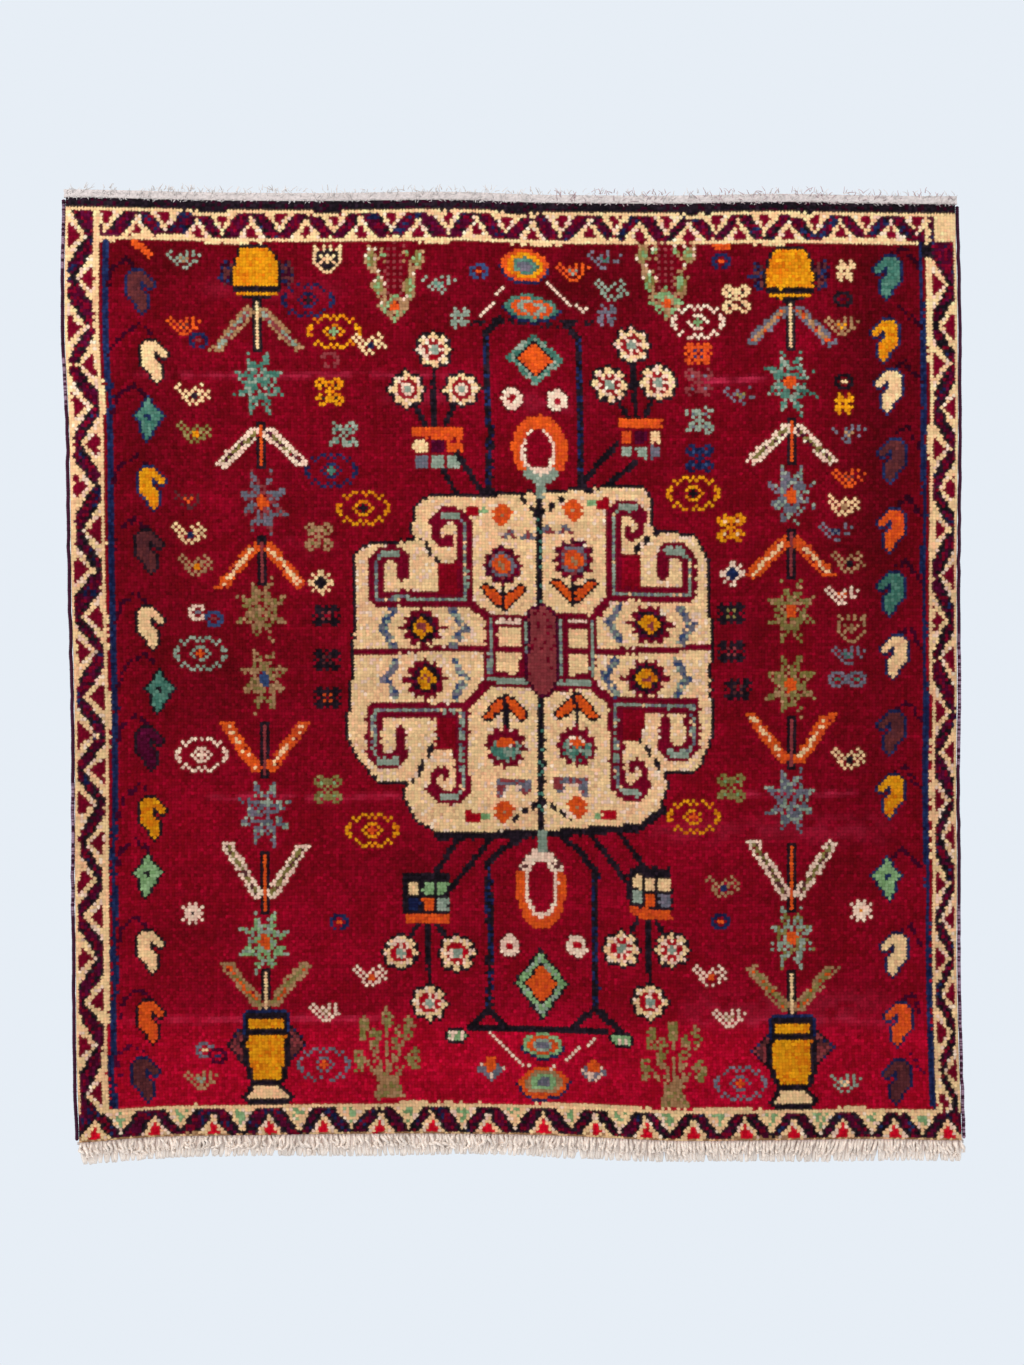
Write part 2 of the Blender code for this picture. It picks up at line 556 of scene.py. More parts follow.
FILLERS = (
    (COMB, 38, 19, "sage", "tan"), (COMB, 38, 40, "orange", "brown"), (RING, 42, 45, "navy", "mauve"),
    (BIRD, 40, 62, "cream", "soot"), (BIRD, 40, 74, "olive", "gold"), (COMB, 38, 95, "brown", "orange"),
    (BIRD, 38, 105, "cream", "navy"), (BIRD, 40, 116, "tan", "gold"), (RING, 40, 130, "rose", "slate"),
    (RING, 45, 133, "blue", "mauve"), (HOOKED_RING, 41, 144, "sage", "orange"),
    (HOOKED_RING, 40, 175, "rose", "rose"), (SNOWFLAKE, 38, 225, "rose", "soot"),
    (RING, 41, 268, "slate", "cream"), (RING, 45, 271, "aubergine", "navy"), (COMB, 39, 278, "tan", "sage"),
    (EYED_FLOWER, 82, 19, "cream", "soot"), (HOOKED_RING, 77, 31, "navy", "soot"),
    (HOOKED_RING, 84, 41, "gold", "leaf"), (BIRD, 96, 46, "cream", "navy"), (RING, 83, 51, "mauve", "wine"),
    (QUATREFOIL, 82, 61, "gold", "soot"), (QUATREFOIL, 87, 74, "sage", "teal"),
    (HOOKED_RING, 83, 86, "navy", "teal"), (HOOKED_RING, 92, 97, "gold", "soot"),
    (QUATREFOIL, 79, 107, "tan", "olive"), (SMALL_STAR, 79, 121, "cream", "soot"),
    (STACK, 80, 132, "soot", "mauve"), (STACK, 80, 146, "soot", "brown"), (STACK, 80, 158, "soot", "orange"),
    (QUATREFOIL, 80, 187, "olive", "leaf"), (HOOKED_RING, 94, 199, "gold", "orange"),
    (RING, 84, 229, "navy", "orange"), (BIRD, 93, 245, "rose", "orange"), (COMB, 79, 257, "rose", "tan"),
    (HOOKED_RING, 79, 273, "slate", "orange"),
    (RING, 206, 19, "navy", "orange"), (QUATREFOIL, 211, 30, "cream", "soot"),
    (HOOKED_RING, 198, 38, "rose", "leaf"), (STACK, 199, 47, "orange", "navy"),
    (QUATREFOIL, 199, 56, "mauve", "slate"), (QUATREFOIL, 199, 68, "sage", "slate"),
    (QUATREFOIL, 198, 80, "navy", "blue"), (HOOKED_RING, 196, 92, "gold", "soot"),
    (COMB, 212, 61, "slate", "olive"), (QUATREFOIL, 209, 103, "gold", "cream"),
    (SMALL_STAR, 209, 117, "rose", "navy"), (STACK, 209, 129, "soot", "olive"),
    (STACK, 209, 142, "soot", "mauve"), (STACK, 210, 154, "soot", "brown"),
    (QUATREFOIL, 208, 184, "olive", "leaf"), (HOOKED_RING, 197, 194, "gold", "orange"),
    (BIRD, 205, 215, "tan", "navy"), (RING, 205, 226, "navy", "orange"), (BIRD, 201, 243, "rose", "orange"),
    (COMB, 207, 257, "rose", "tan"), (HOOKED_RING, 210, 278, "slate", "orange"),
    (HASH, 245, 21, "cream", "wine"), (RING, 244, 31, "soot", "aubergine"), (COMB, 244, 39, "tan", "gold"),
    (RING, 244, 56, "soot", "cream"), (HASH, 244, 64, "gold", "wine"), (COMB, 246, 73, "slate", "tan"),
    (COMB, 246, 87, "orange", "brown"), (BIRD, 243, 95, "cream", "tan"), (COMB, 242, 104, "slate", "navy"),
    (BIRD, 245, 114, "tan", "soot"), (COMB, 244, 124, "rose", "orange"),
    (EYED_FLOWER, 246, 134, "tan", "wine"),
    (COMB, 246, 143, "slate", "teal"), (RING, 242, 151, "slate", "teal"), (RING, 248, 151, "slate", "teal"),
    (BIRD, 245, 176, "cream", "soot"), (SNOWFLAKE, 250, 224, "rose", "gold"),
    (COMB, 244, 278, "sage", "cream"),
    (COMB, 118, 27, "sage", "teal"), (RING, 130, 22, "blue", "orange"), (HASH, 124, 38, "sage", "slate"),
    (COMB, 170, 18, "slate", "teal"), (BIRD, 171, 27, "sage", "wine"), (HASH, 170, 36, "slate", "sage"),
    (COMB, 160, 22, "orange", "sage"),
)
for motif, x, y, dye, second in FILLERS:
    stamp(motif, x, y, (dye, second))
    faint = motif in (COMB, QUATREFOIL) and dye in ("slate", "sage", "mauve", "brown")
    thinned = 0.3 if faint else 0.06
    fleck(block(x - 9, y - 6, x + 9, y + 6) & tied_in(dye), "wine", thinned)
tie(line(2.2, (22, 14), (27, 17.5)), "orange")
tie(line(1.6, (204, 14), (208, 14)), "orange")


# The sprays and flowers
# Tulip sprays hang at the top and leafy ones stand at the foot, in tan and green thinned out with red.
# Rosettes with cream petals rise in threes from small chequered pots, and black lines tie the pots to
# the medallion.
def tulip_spray(x, y):
    for lean, high in ((-2.4, 22), (0, 24), (2.4, 22)):
        tie(line(1.2, (x + lean, y - 7), (x + lean, y - high)) & every_other, "mauve")
    leaves = ((5, 9.8, 2.3, 5.2), (7.2, 18.4, 2.3, 4.2), (3.6, 19.6, 1.2, 2.2))
    for side in (-1, 1):
        for lean, centre, half_width, half_height in leaves:
            leaf = oval(x + side * (lean - (rows - y + centre) * 0.12), y - centre, half_width, half_height)
            tie(leaf, "tan", rose=0.18, wine=0.36)
            tie(oval(x + side * lean, y - centre, half_width * 0.55, half_height * 0.6), "olive", leaf=0.4)
    heart = shape((x, y - 8.4), (x + 5.4, y - 3.4), (x, y + 1.8), (x - 5.4, y - 3.4))
    tie(heart, "tan", leaf=0.4, wine=0.15)
    tie(oval(x, y - 3.5, 1.3, 1.6), "orange")


def leafy_spray(x, y):
    foot = shape((x - 5, y), (x + 5, y), (x + 3, y - 5), (x + 4, y - 8), (x - 4, y - 8), (x - 3, y - 5))
    tie(foot, "tan", olive=0.25)
    for lean, high in ((0, 28), (-3.6, 22), (3.6, 22), (-7, 25), (7, 25), (-8.8, 15), (8.8, 15)):
        tie(line(1.1, (x + lean * 0.3, y - 6), (x + lean, y - high)), "tan")
        leaf = oval(x + lean, y - high + 3.4, 1.8, 3.8)
        tie(leaf, "olive", tan=0.35)
    fleck(block(x - 11, y - 30, x + 11, y - 7) & tied_in("olive", "tan"), "wine", 0.22)


def rosette(x, y):
    turn = np.arctan2(rows - y, columns - x)
    away = np.hypot(columns - x, rows - y)
    petals = away < 5.0 + 0.5 * np.cos(8 * turn)
    outlined(petals, "cream", "soot", rose=0.3)
    tie((away > 4.2) & (away < 5.4) & (np.cos(8 * turn) < -0.55), "soot")
    tie(away < 3.4, "crimson")
    tie((away < 3.4) & (away > 2.5) & (np.cos(8 * turn) > 0.7), "rose")
    tie(away < 1.9, "rose")
    tie(away < 1.4, "sage")


def small_rosette(x, y):
    tie(oval(x, y, 3.2, 3.4), "rose")
    tie(oval(x, y, 1.3, 1.3), "crimson")
    tie(around(oval(x, y, 3.2, 3.4)) & every_other, "dark_wine")


tulip_spray(103.5, 37)
tulip_spray(188.5, 35)
leafy_spray(98.5, 284)
leafy_spray(189.5, 285)

BUNCHES = (
    ((115, 71), (115.5, 47.5), (107, 60), (124, 60)),
    ((179, 68), (178, 45), (170.5, 57.5), (186, 56.5)),
    ((112, 229), (112.3, 254), (103.4, 238), (121, 238)),
    ((182, 226), (182, 252), (173.5, 236), (189.5, 235.5)),
)
for (pot_x, pot_y), far, left, right in BUNCHES:
    for flower in (far, left, right):
        tie(line(1.6, (pot_x + (flower[0] - pot_x) * 0.35, pot_y), flower), "soot")
    for flower in (far, left, right):
        rosette(*flower)
for x, y in ((139.5, 63), (154, 63), (138, 236), (159.5, 235)):
    small_rosette(x, y)

POTS = (
    (108, 71.5, 124, 75, 1, ("cream", "aubergine", "orange"), ("slate", "sage", "sage")),
    (173, 67.5, 186.5, 70.5, 1, ("orange", "aubergine", "cream"), ("sage", "sage", "slate")),
    (105, 226, 119, 229, -1, ("navy", "orange", "sage"), ("cream", "leaf", "leaf")),
    (176.5, 222.5, 189.5, 225.5, -1, ("sage", "orange", "slate"), ("cream", "cream", "cream")),
)
for left, top, right, bottom, side, near_cells, far_cells in POTS:
    tie(block(left, top, right, bottom), "orange")
    rim = bottom if side > 0 else top
    cell = (right - left) / 3
    if side < 0:
        tie(block(left - 1, rim - 13, right, rim), "soot")
    for step, cells in ((0, near_cells), (1, far_cells)):
        for number, dye in enumerate(cells):
            low = rim + side * (1 + 5 * step)
            cell_top, cell_bottom = sorted((low, low + side * 4))
            cell_left, cell_right = left + cell * number + 0.6, left + cell * (number + 1) - 0.6
            tie(block(cell_left, cell_top, cell_right, cell_bottom), dye)

for start, end in (
    ((122, 80), (131, 93)), ((118, 86), (123, 95)), ((172, 76), (160, 91)), ((178, 82), (168, 91)),
    ((113, 214), (123, 200)), ((118, 219), (132, 202)), ((176, 216), (164, 200)), ((182, 211), (173, 199)),
):
    tie(line(1.9, start, end), "soot")


# The medallion
# A lobed cream ground outlined in black lies a little left of the middle.
# A black line and a red one quarter it, and each quarter holds a pair of ram's horns on a red square,
# a flower on its stem, and a little beast near the edge.
MEDALLION = (
    (113, 94), (140, 93), (180, 90), (183, 94), (183, 102), (185, 104), (197, 105), (201, 112), (202, 168),
    (198, 178), (187, 180), (188, 184), (186, 190), (180, 196), (140, 200), (115, 200), (108, 196),
    (105, 188), (107, 184), (97, 184), (90, 176), (87, 168), (89, 150), (90, 112), (94, 109), (110, 108),
    (108, 104), (109, 97),
)
ground = shape(*MEDALLION)
outlined(ground, "cream", "soot", rose=0.14)
tie(line(2.6, (115, 201), (140, 200.6), (180, 197), (187, 191)), "soot")


def horns(corner, side, up, bar, rise, arch, drop, post, curl):
    x, y = corner
    far = x + side * bar
    top = y + up * rise
    inner = far - side * arch
    high = y + up * post
    near = x + side * curl
    low_horn = (
        (x, y), (far, y), (far, top - up * 2.5), (far - side * 2.5, top), (inner + side * 1.5, top),
        (inner, top - up * 2), (inner, top - up * drop),
    )
    high_horn = (
        (x, y), (x, high - up * 2.5), (x + side * 2.5, high), (near - side * 2.5, high),
        (near, high - up * 2.5), (near, high - up * 7), (near - side * 2.0, high - up * 9),
        (near - side * 4, high - up * 9), (near - side * 4, high - up * 7),
    )
    tie(line(4.9, *low_horn[:6]) | line(3.6, *low_horn[5:]), "maroon")
    tie(line(4.9, *high_horn[:5]) | line(2.4, *high_horn[4:]), "maroon")
    core = line(1.1, *low_horn[:5]) | line(1.1, *high_horn[:3])
    tie(core, "sage", cream=0.15, slate=0.3)
    tie(line(2.3, low_horn[3], low_horn[4]) | line(2.3, high_horn[2], high_horn[3]), "sage")
    square_x = sorted((x + side * 2.3, x + side * 8.6))
    square_y = sorted((y + up * 1.8, y + up * 12))
    tie(block(square_x[0], square_y[0], square_x[1], square_y[1]), "wine")


def lobed(x, y, radius, lobe, lobes=8):
    """A round flower's edge, with this many lobes."""
    turn = np.arctan2(rows - y, columns - x)
    return np.hypot(columns - x, rows - y) < radius + lobe * np.cos(lobes * turn)


def side_flower(x, y):
    tie(lobed(x, y, 5.9, 0.7, 12), "maroon")
    tie(block(x - 8, y - 0.8, x + 8, y + 0.8) & (np.abs(columns - x) > 5), "maroon")
    tie(lobed(x, y, 4.2, 0.3), "soot")
    fleck(lobed(x, y, 4.9, 0.3), "aubergine", 0.3)
    tie(lobed(x, y, 2.9, 0.4, 4), "gold")
    fleck(lobed(x, y, 1.4, 0), "mauve", 0.7)
    for side in (-1, 1):
        bracket = line(
            2.5, (x + side * 9.6, y - 5.5), (x + side * 11, y - 2.6), (x + side * 13.4, y),
            (x + side * 11, y + 2.6), (x + side * 9.6, y + 5.5),
        )
        tie(bracket, "slate", cream=0.2, blue=0.3, sage=0.25)


def leaf_pair(x, fork, up):
    for side in (-1, 1):
        leaf = shape(
            (x, fork), (x + side * 2.6, fork - up * 1.4), (x + side * 7, fork - up * 6.6),
            (x + side * 4.6, fork - up * 6.8), (x, fork - up * 3),
        )
        outlined(leaf, "orange", "soot")


def open_flower(x, y):
    leaf_pair(x, y + 13.6, 1)
    tie(line(1.3, (x, y + 5), (x, y + 13)), "soot")
    tie(lobed(x, y, 6.0, 0.7, 12), "aubergine", maroon=0.5)
    tie(lobed(x, y, 4.2, 0.2), "slate", mauve=0.3)
    tie(lobed(x, y, 3.0, 0.2, 4), "orange")
    fleck(lobed(x, y, 1.6, 0), "tan", 0.6)


def cupped_flower(x, y):
    leaf_pair(x, y - 16, -1)
    tie(line(1.3, (x, y - 13), (x, y - 5)), "soot")
    tie(lobed(x, y, 6.1, 0.7, 12), "maroon")
    tie(oval(x, y + 0.6, 4.8, 3.8), "teal", sage=0.45, maroon=0.12)
    tie(oval(x, y - 1.4, 2.8, 1.7), "orange", rose=0.25)


horns((124.5, 126.2), -1, -1, bar=28, rise=14.5, arch=8.5, drop=7.5, post=26.5, curl=9)
horns((171.5, 123.2), 1, -1, bar=24, rise=13.5, arch=8.5, drop=7.5, post=26.5, curl=8.5)
horns((123, 161.6), -1, 1, bar=28, rise=16, arch=8.5, drop=9.5, post=27.5, curl=9)
horns((172, 158.6), 1, 1, bar=24, rise=15, arch=8.5, drop=10, post=27.5, curl=9)
tie(ground & line(1.9, (88, 143), (131, 142)), "maroon")
tie(ground & line(1.9, (165, 142.2), (201, 140.2)), "maroon")
for x, y in ((111, 135.3), (111.5, 151.8), (182.7, 133), (181.6, 150)):
    side_flower(x, y)
open_flower(136.3, 115.3)
open_flower(158.7, 113)
cupped_flower(136.8, 173.2)
cupped_flower(159.3, 172)

# Each top and bottom lobe holds two little beasts with an orange head, beside a red and green bar.
HEAD = """
..111...
.11111..
1111111.
.11211..
.111111.
..1111..
...11...
"""
FEET = """
..22....2..
.222...222.
22.22.22222
"""
ARCHED_FEET = """
22222222222
22222222222
222.....222
222....2222
22......22.
22.........
"""
for x, y, side in ((136, 99.4, 1), (159, 97, -1)):
    stamp(HEAD, x, y, ("orange", "tan"), mirror=side > 0)
    stamp(FEET, x + side * 5, y + 6, ("orange", "slate"), mirror=side < 0)
for x, y, side in ((136, 193.4, 1), (160.5, 192, -1)):
    stamp(HEAD, x, y, ("orange", "tan"), mirror=side > 0)
    stamp(ARCHED_FEET, x + side * 3, y - 7, ("orange", "slate"), mirror=side < 0)
for x, y, side, up in ((136, 99.4, 1, 1), (159, 97, -1, 1), (136, 193.4, 1, -1), (160.5, 192, -1, -1)):
    bar_x = sorted((x - side * 7, x - side * 11.5))
    tie(block(bar_x[0], y - up * 1.4 - 1.5, bar_x[1], y - up * 1.4 + 1.7), "crimson")
    stalk_x = sorted((x - side * 4.2, x - side * 6.8))
    tie(block(stalk_x[0], y - up * 1.4 - 0.9, stalk_x[1], y - up * 1.4 + 0.9), "leaf")
    fleck(block(x - 9, y - 12, x + 9, y + 9) & tied_in("slate"), "mauve", 0.5)
DOTTED = (
    ((111, 107), (116, 114)), ((185, 104), (178, 110)), ((108, 184), (115, 170)), ((187, 180), (180, 170)),
    ((147, 99), (142, 94)), ((149, 99), (155, 94)), ((147, 190), (139, 196)), ((149, 189), (157, 195)),
)
for start, end in DOTTED:
    tie(line(1.7, start, end) & (np.floor(knot_columns) % 3 > 0), "soot")
tie(block(146.8, 88, 149.1, 129) | block(146.8, 154, 149.1, 200), "soot", teal=0.12)

# The middle is a box of cream cells round a mauve panel, tied at its corners to the four pairs of horns.
LINKS = (
    ((126, 127.6), (131.5, 132)), ((170, 124.6), (164.6, 132)), ((170, 157.4), (164.6, 153)),
    ((125, 160), (131.5, 153)),
)
for corner, centre in LINKS:
    tie(line(2.9, corner, centre), "maroon")
tie(block(130.4, 130.6, 165.8, 154.4), "maroon")
for left, right in ((134.2, 141.4), (156.6, 163)):
    tie(block(left, 132.2, right, 133.4), "rose")
    tie(block(left, 135, right, 141.2), "cream")
    tie(block(left, 143.2, right, 149.4), "cream")
for left, right in ((131.6, 133), (142.6, 144), (153.6, 155), (163.8, 165)):
    tie(block(left, 132, right, 150), "sage", slate=0.3)
tie(block(131.6, 151.2, 164.6, 152.8), "sage")
panel = shape(
    (145.6, 128.6), (151, 128.6), (153, 132), (153, 150.6), (150.6, 155.6), (146.4, 155.6), (144.2, 150.6),
    (144.2, 132),
)
tie(around(panel), "aubergine")
tie(panel, "mauve", maroon=0.12)


# The pendants
# Above and below the medallion a black arch holds a hooked jug ring and a stepped lozenge on the field.
# Oval buds, flowers and dotted twigs close each end towards the border.
for left, right, top, bottom in ((132, 160.8, 42, 91), (131.3, 165, 210, 256)):
    posts = block(left - 0.9, top, left + 1.2, bottom) | block(right - 0.9, top, right + 1.2, bottom)
    tie(posts, "navy", soot=0.6)
for points in (
    ((132, 42), (137, 37.5)), ((160.8, 43), (156, 37.5)), ((132, 91), (134, 93)), ((160.8, 90), (164, 92)),
    ((131.3, 210), (136, 205), (143, 201)), ((165, 211), (160, 205), (154, 200)),
    ((131.3, 256), (125, 262)), ((131.3, 256), (137, 262)), ((165, 255), (158, 261)),
    ((165, 255), (173, 262)),
):
    tie(line(2.2, *points), "soot")
fleck(line(2.0, (127, 38.5), (165, 38.5)), "soot", 0.55)
tie(line(2.2, (126, 262.3), (168, 262)), "soot")
for x, y in ((121, 264.5), (173, 264.5)):
    outlined(oval(x, y, 3, 1.8), "leaf", "soot", rose=0.4)


def lozenge(x, y, half_width, half_height, ring):
    diamond = np.abs(columns - x) / half_width + np.abs(rows - y) / half_height
    if ring == "leaf":
        tie(diamond < 1.14, "soot")
    tie(diamond < 1, ring, sage=0.3)
    tie(diamond < 0.72, "soot")
    tie(diamond < 0.62, "orange")


lozenge(147, 50, 9, 8.6, "teal")
lozenge(148, 248, 7.6, 10.4, "leaf")

arch = oval(148, 78.5, 9, 10.5) & (rows < 85)
tie(arch, "orange")
tie(oval(147.5, 79.5, 5.6, 7.6), "rose")
tie(oval(147.5, 79, 4.4, 6.2) & (rows < 84), "wine")
tie(line(3, (144, 86), (148, 89), (152, 86)), "sage")
tie(block(147, 87, 149.4, 94), "sage")
ring = oval(148, 217.5, 8, 13)
tie(ring, "orange")
tie(ring & (rows < 212), "rose", brown=0.35)
tie(oval(148, 217, 5.4, 10), "rose")
tie(oval(148, 217, 4.2, 8.4), "wine")
tie(block(147, 199, 149.4, 206), "sage")

for x, y, half_width, half_height, dyes in (
    (144.5, 20, 7.5, 5.4, ("orange", "gold", "teal", "slate")),
    (146.5, 33.5, 8, 4, ("teal", "orange", "sage", "orange")),
    (148, 267, 6.5, 3.6, ("leaf", "orange", "sage", "slate")),
    (148, 279, 8, 5, ("orange", "tan", "leaf", "slate")),
):
    for number, dye in enumerate(dyes):
        tie(oval(x, y, half_width * (1 - 0.23 * number), half_height * (1 - 0.23 * number)), dye)
    tie(around(oval(x, y, half_width, half_height)) & (rows > y), "navy")
for x, y in ((164, 275), (131, 275)):
    bud = shape((x, y - 4), (x + 4.5, y), (x, y + 4), (x - 4.5, y))
    tie(bud, "slate", rose=0.3)
    tie(oval(x, y - 1.5, 2, 2.2), "orange")
for points in (
    ((151, 25), (157, 31), (164, 35)), ((138, 28), (131, 36)), ((151, 275), (157, 270), (164, 265)),
    ((143, 274), (137, 270), (132, 264)),
):
    tie(line(1.4, *points) & every_other, "rose")


# The cloth that carries the knots
# The back of the rug: warps and wefts with the back of every knot, so the chart shows there mirrored.
# It hangs from its top edge: the upper part lies flat, and lower down it stands off in soft waves.
MM = 0.001
SIDES = np.array(
    [
        (0.00, -326.8, 323.1), (0.10, -328.0, 324.9), (0.17, -327.4, 325.1), (0.23, -324.2, 325.5),
        (0.40, -323.0, 324.2), (0.53, -320.6, 324.6), (0.62, -320.0, 323.5), (0.72, -320.1, 324.4),
        (0.80, -319.1, 323.2), (0.92, -318.4, 325.0), (1.00, -315.9, 327.1),
    ]
)
ENDS = np.array(
    [
        (0.00, -3.5, -687.9), (0.08, -4.5, -682.8), (0.15, -5.8, -682.1), (0.28, -6.5, -681.4),
        (0.44, -5.1, -681.6), (0.53, -7.8, -682.1), (0.60, -8.0, -683.9), (0.68, -8.5, -686.8),
        (0.80, -6.6, -686.4), (0.90, -8.2, -684.6), (1.00, -8.7, -685.3),
    ]
)
SOFTENING = 0.04
FLAT_SHARE = 0.42
WAVE_HEIGHT = 3.2 * MM
WAVES_ACROSS = 2.5
LEFT_CORNER_LIFT = 5.0 * MM
RIGHT_CORNER_LIFT = 3.0 * MM
SELVEDGE_RADIUS = 1.4 * MM
PIECE_GAP = 0.3 * MM
PILE_INSET = 2 * SELVEDGE_RADIUS + PIECE_GAP


def read_edge(table, column, share):
    near = np.clip(np.asarray(share)[..., None] + np.linspace(-SOFTENING, SOFTENING, 9), 0, 1)
    return np.interp(near, table[:, 0], table[:, column]).mean(-1) * MM


def stand_off(across, down):
    below = np.clip((down - FLAT_SHARE) / (1 - FLAT_SHARE), 0, 1)
    growth = below * below * (3 - 2 * below)
    wave = 0.5 - 0.5 * np.cos(2 * np.pi * WAVES_ACROSS * across)
    left_lift = LEFT_CORNER_LIFT * np.clip(1 - 2 * across, 0, 1) ** 3
    right_lift = RIGHT_CORNER_LIFT * np.clip(2 * across - 1, 0, 1) ** 3
    return growth * (WAVE_HEIGHT * wave + below * (left_lift + right_lift))


def place(across, down, inset=0.0, front=0.0, drop=0.0):
    """Points on the back of the rug, moved front towards the viewer and drop downwards."""
    left = read_edge(SIDES, 1, down)
    right = read_edge(SIDES, 2, down)
    x = left + inset + across * (right - left - 2 * inset)
    top = read_edge(ENDS, 1, across)
    bottom = read_edge(ENDS, 2, across)
    z = top + down * (bottom - top) - drop
    return np.stack([x, -stand_off(across, down) - front, z], axis=-1)


def linear(colour):
    colour = np.asarray(colour, float) / 255
    return np.where(colour <= 0.04045, colour / 12.92, ((colour + 0.055) / 1.055) ** 2.4)


# Wool takes dye unevenly: each knot differs a little, each weft line more or less, and the red changes
# by batch. Knots of one dye also lean towards a second tone, as the fleece did.
LEANINGS = {
    "wine": (146, 3, 32), "crimson": (168, 5, 28), "cream": (250, 186, 140), "rose": (250, 222, 190),
    "gold": (214, 104, 10), "orange": (206, 66, 30), "soot": (44, 30, 40), "navy": (34, 50, 92),
    "aubergine": (96, 10, 50), "maroon": (132, 5, 38), "teal": (100, 140, 120), "sage": (164, 168, 150),
    "slate": (128, 112, 124), "tan": (186, 140, 100), "olive": (150, 132, 80), "leaf": (152, 182, 130),
    "mauve": (144, 62, 62), "brown": (110, 48, 46),
}
# Painted shade: soft patches of the red field darkened as if in shadow. Each is given by its middle column
# and row, its half width and half height in knots, and how deep it darkens.
SHADED_PLACES = (
    (256, 70, 16, 80, 0.5), (166, 24, 30, 16, 0.34), (24, 100, 14, 60, 0.35), (24, 20, 26, 12, 0.35),
    (210, 30, 16, 30, 0.2), (250, 196, 22, 40, 0.22), (44, 150, 22, 26, 0.22), (214, 150, 16, 40, 0.2),
    (148, 30, 40, 14, 0.2), (100, 210, 30, 20, 0.12),
)
colour_rng = np.random.default_rng(2)
red = tied_in("wine", "crimson", "dark_wine", "thorn")
knot_tone = 1 + 0.11 * colour_rng.standard_normal(chart.shape)
line_tone = 1 + 0.09 * smooth_noise(chart.shape, (KNOT_ROWS, 16), 3)
line_tone = line_tone + 0.07 * smooth_noise(chart.shape, (60, 5), 4)
line_tone = line_tone + 0.06 * smooth_noise(chart.shape, (9, KNOTS_ACROSS), 15)
patch_tone = 1 + 0.12 * smooth_noise(chart.shape, (9, 8), 5)
batch_and_shade_tone = np.interp(rows, (0, 30, 90, 185, 195, 255, 264, KNOT_ROWS), (0.9, 1, 1, 1, 1.06, 1.06, 1.7, 1.7))
for x, y, half_width, half_height, depth in SHADED_PLACES:
    away = ((columns - x) / half_width) ** 2 + ((rows - y) / half_height) ** 2
    batch_and_shade_tone = batch_and_shade_tone * (1 - depth * np.exp(-away))
dyes = linear(np.array([DYES[name] for name in DYE_NAMES]))
leanings = linear(np.array([LEANINGS.get(name, DYES[name]) for name in DYE_NAMES]))
lean = 0.34 + 0.3 * colour_rng.standard_normal(chart.shape) + 0.3 * smooth_noise(chart.shape, (44, 40), 7)
lean = np.clip(lean, 0, 1)[..., None]
knot_colours = dyes[chart] * (1 - lean) + leanings[chart] * lean
red_tone = knot_tone * line_tone * patch_tone * batch_and_shade_tone
# Painted light: knots that are not red are painted brighter near the top and darker from row 60 down, as
# light falls off down the rug.
falloff_light = 1.12 - 0.29 * np.clip((rows - 60) / 60, 0, 1)
knot_colours = knot_colours * np.where(red, red_tone, falloff_light * (1 + (knot_tone * line_tone - 1) * 0.9))[..., None]

# Along some wefts the pile is worn, and there the red has faded to pink.
WORN_PINK = (222, 52, 86)
WORN_LINES = (
    (55.5, 1.0, 20, 130, 0.3), (56, 0.9, 196, 224, 0.75), (64, 3.0, 138, 166, 0.22),
    (189, 1.0, 40, 110, 0.34), (186.5, 0.9, 205, 250, 0.34), (259, 1.0, 12, 100, 0.34),
    (258, 1.2, 190, 268, 0.2), (62, 2.6, 96, 130, 0.2), (198, 4.0, 180, 262, 0.12),
    (254, 5.0, 190, 262, 0.12), (110, 3.0, 60, 88, 0.1), (28, 3.0, 40, 90, 0.1),
)
worn_through = smooth_noise(chart.shape, (150, 90), 16)
for row, width, start, end, strength in WORN_LINES:
    wear = strength * np.exp(-(((rows - row) / width) ** 2)) * np.clip((columns - start) / 8, 0, 1)
    wear = wear * np.clip((end - columns) / 8, 0, 1) * red * np.clip(0.75 + worn_through, 0, 1.2)
    knot_colours = knot_colours * (1 - wear[..., None]) + linear(WORN_PINK) * wear[..., None]
knot_colours = np.clip(knot_colours, 0.001, 1)


def mesh_piece(name, points, faces, colours, material, node, uv=None):
    """A piece from arrays of points and of faces, with a colour for every face corner, its dye with any
    painted light and shade, and a bake map.
    """
    mesh = bpy.data.meshes.new(name)
    corner_count = faces.shape[1]
    mesh.vertices.add(len(points))
    mesh.vertices.foreach_set("co", points.astype(np.float32).ravel())
    mesh.loops.add(faces.size)
    mesh.loops.foreach_set("vertex_index", faces.astype(np.int32).ravel())
    mesh.polygons.add(len(faces))
    mesh.polygons.foreach_set("loop_start", np.arange(0, faces.size, corner_count, dtype=np.int32))
    mesh.polygons.foreach_set("use_smooth", np.ones(len(faces), bool))
    mesh.update(calc_edges=True)
    painted = mesh.attributes.new("dye", "FLOAT_COLOR", "CORNER")
    opaque = np.hstack([colours.reshape(-1, 3), np.ones((faces.size, 1))])
    painted.data.foreach_set("color", opaque.astype(np.float32).ravel())
    if uv is not None:
        layer = mesh.uv_layers.new(name="OFBake")
        layer.data.foreach_set("uv", uv.astype(np.float32).ravel())
    piece = bpy.data.objects.new(name, mesh)
    bpy.context.scene.collection.objects.link(piece)
    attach(piece, "root")
    mesh.materials.append(material)
    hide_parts(node)
    return piece


def grid_faces(down, across):
    """Faces of a grid of points, turned towards the viewer in front."""
    number = np.arange(down * across).reshape(down, across)
    corners = (number[1:, :-1], number[1:, 1:], number[:-1, 1:], number[:-1, :-1])
    return np.stack(corners, axis=-1).reshape(-1, 4)


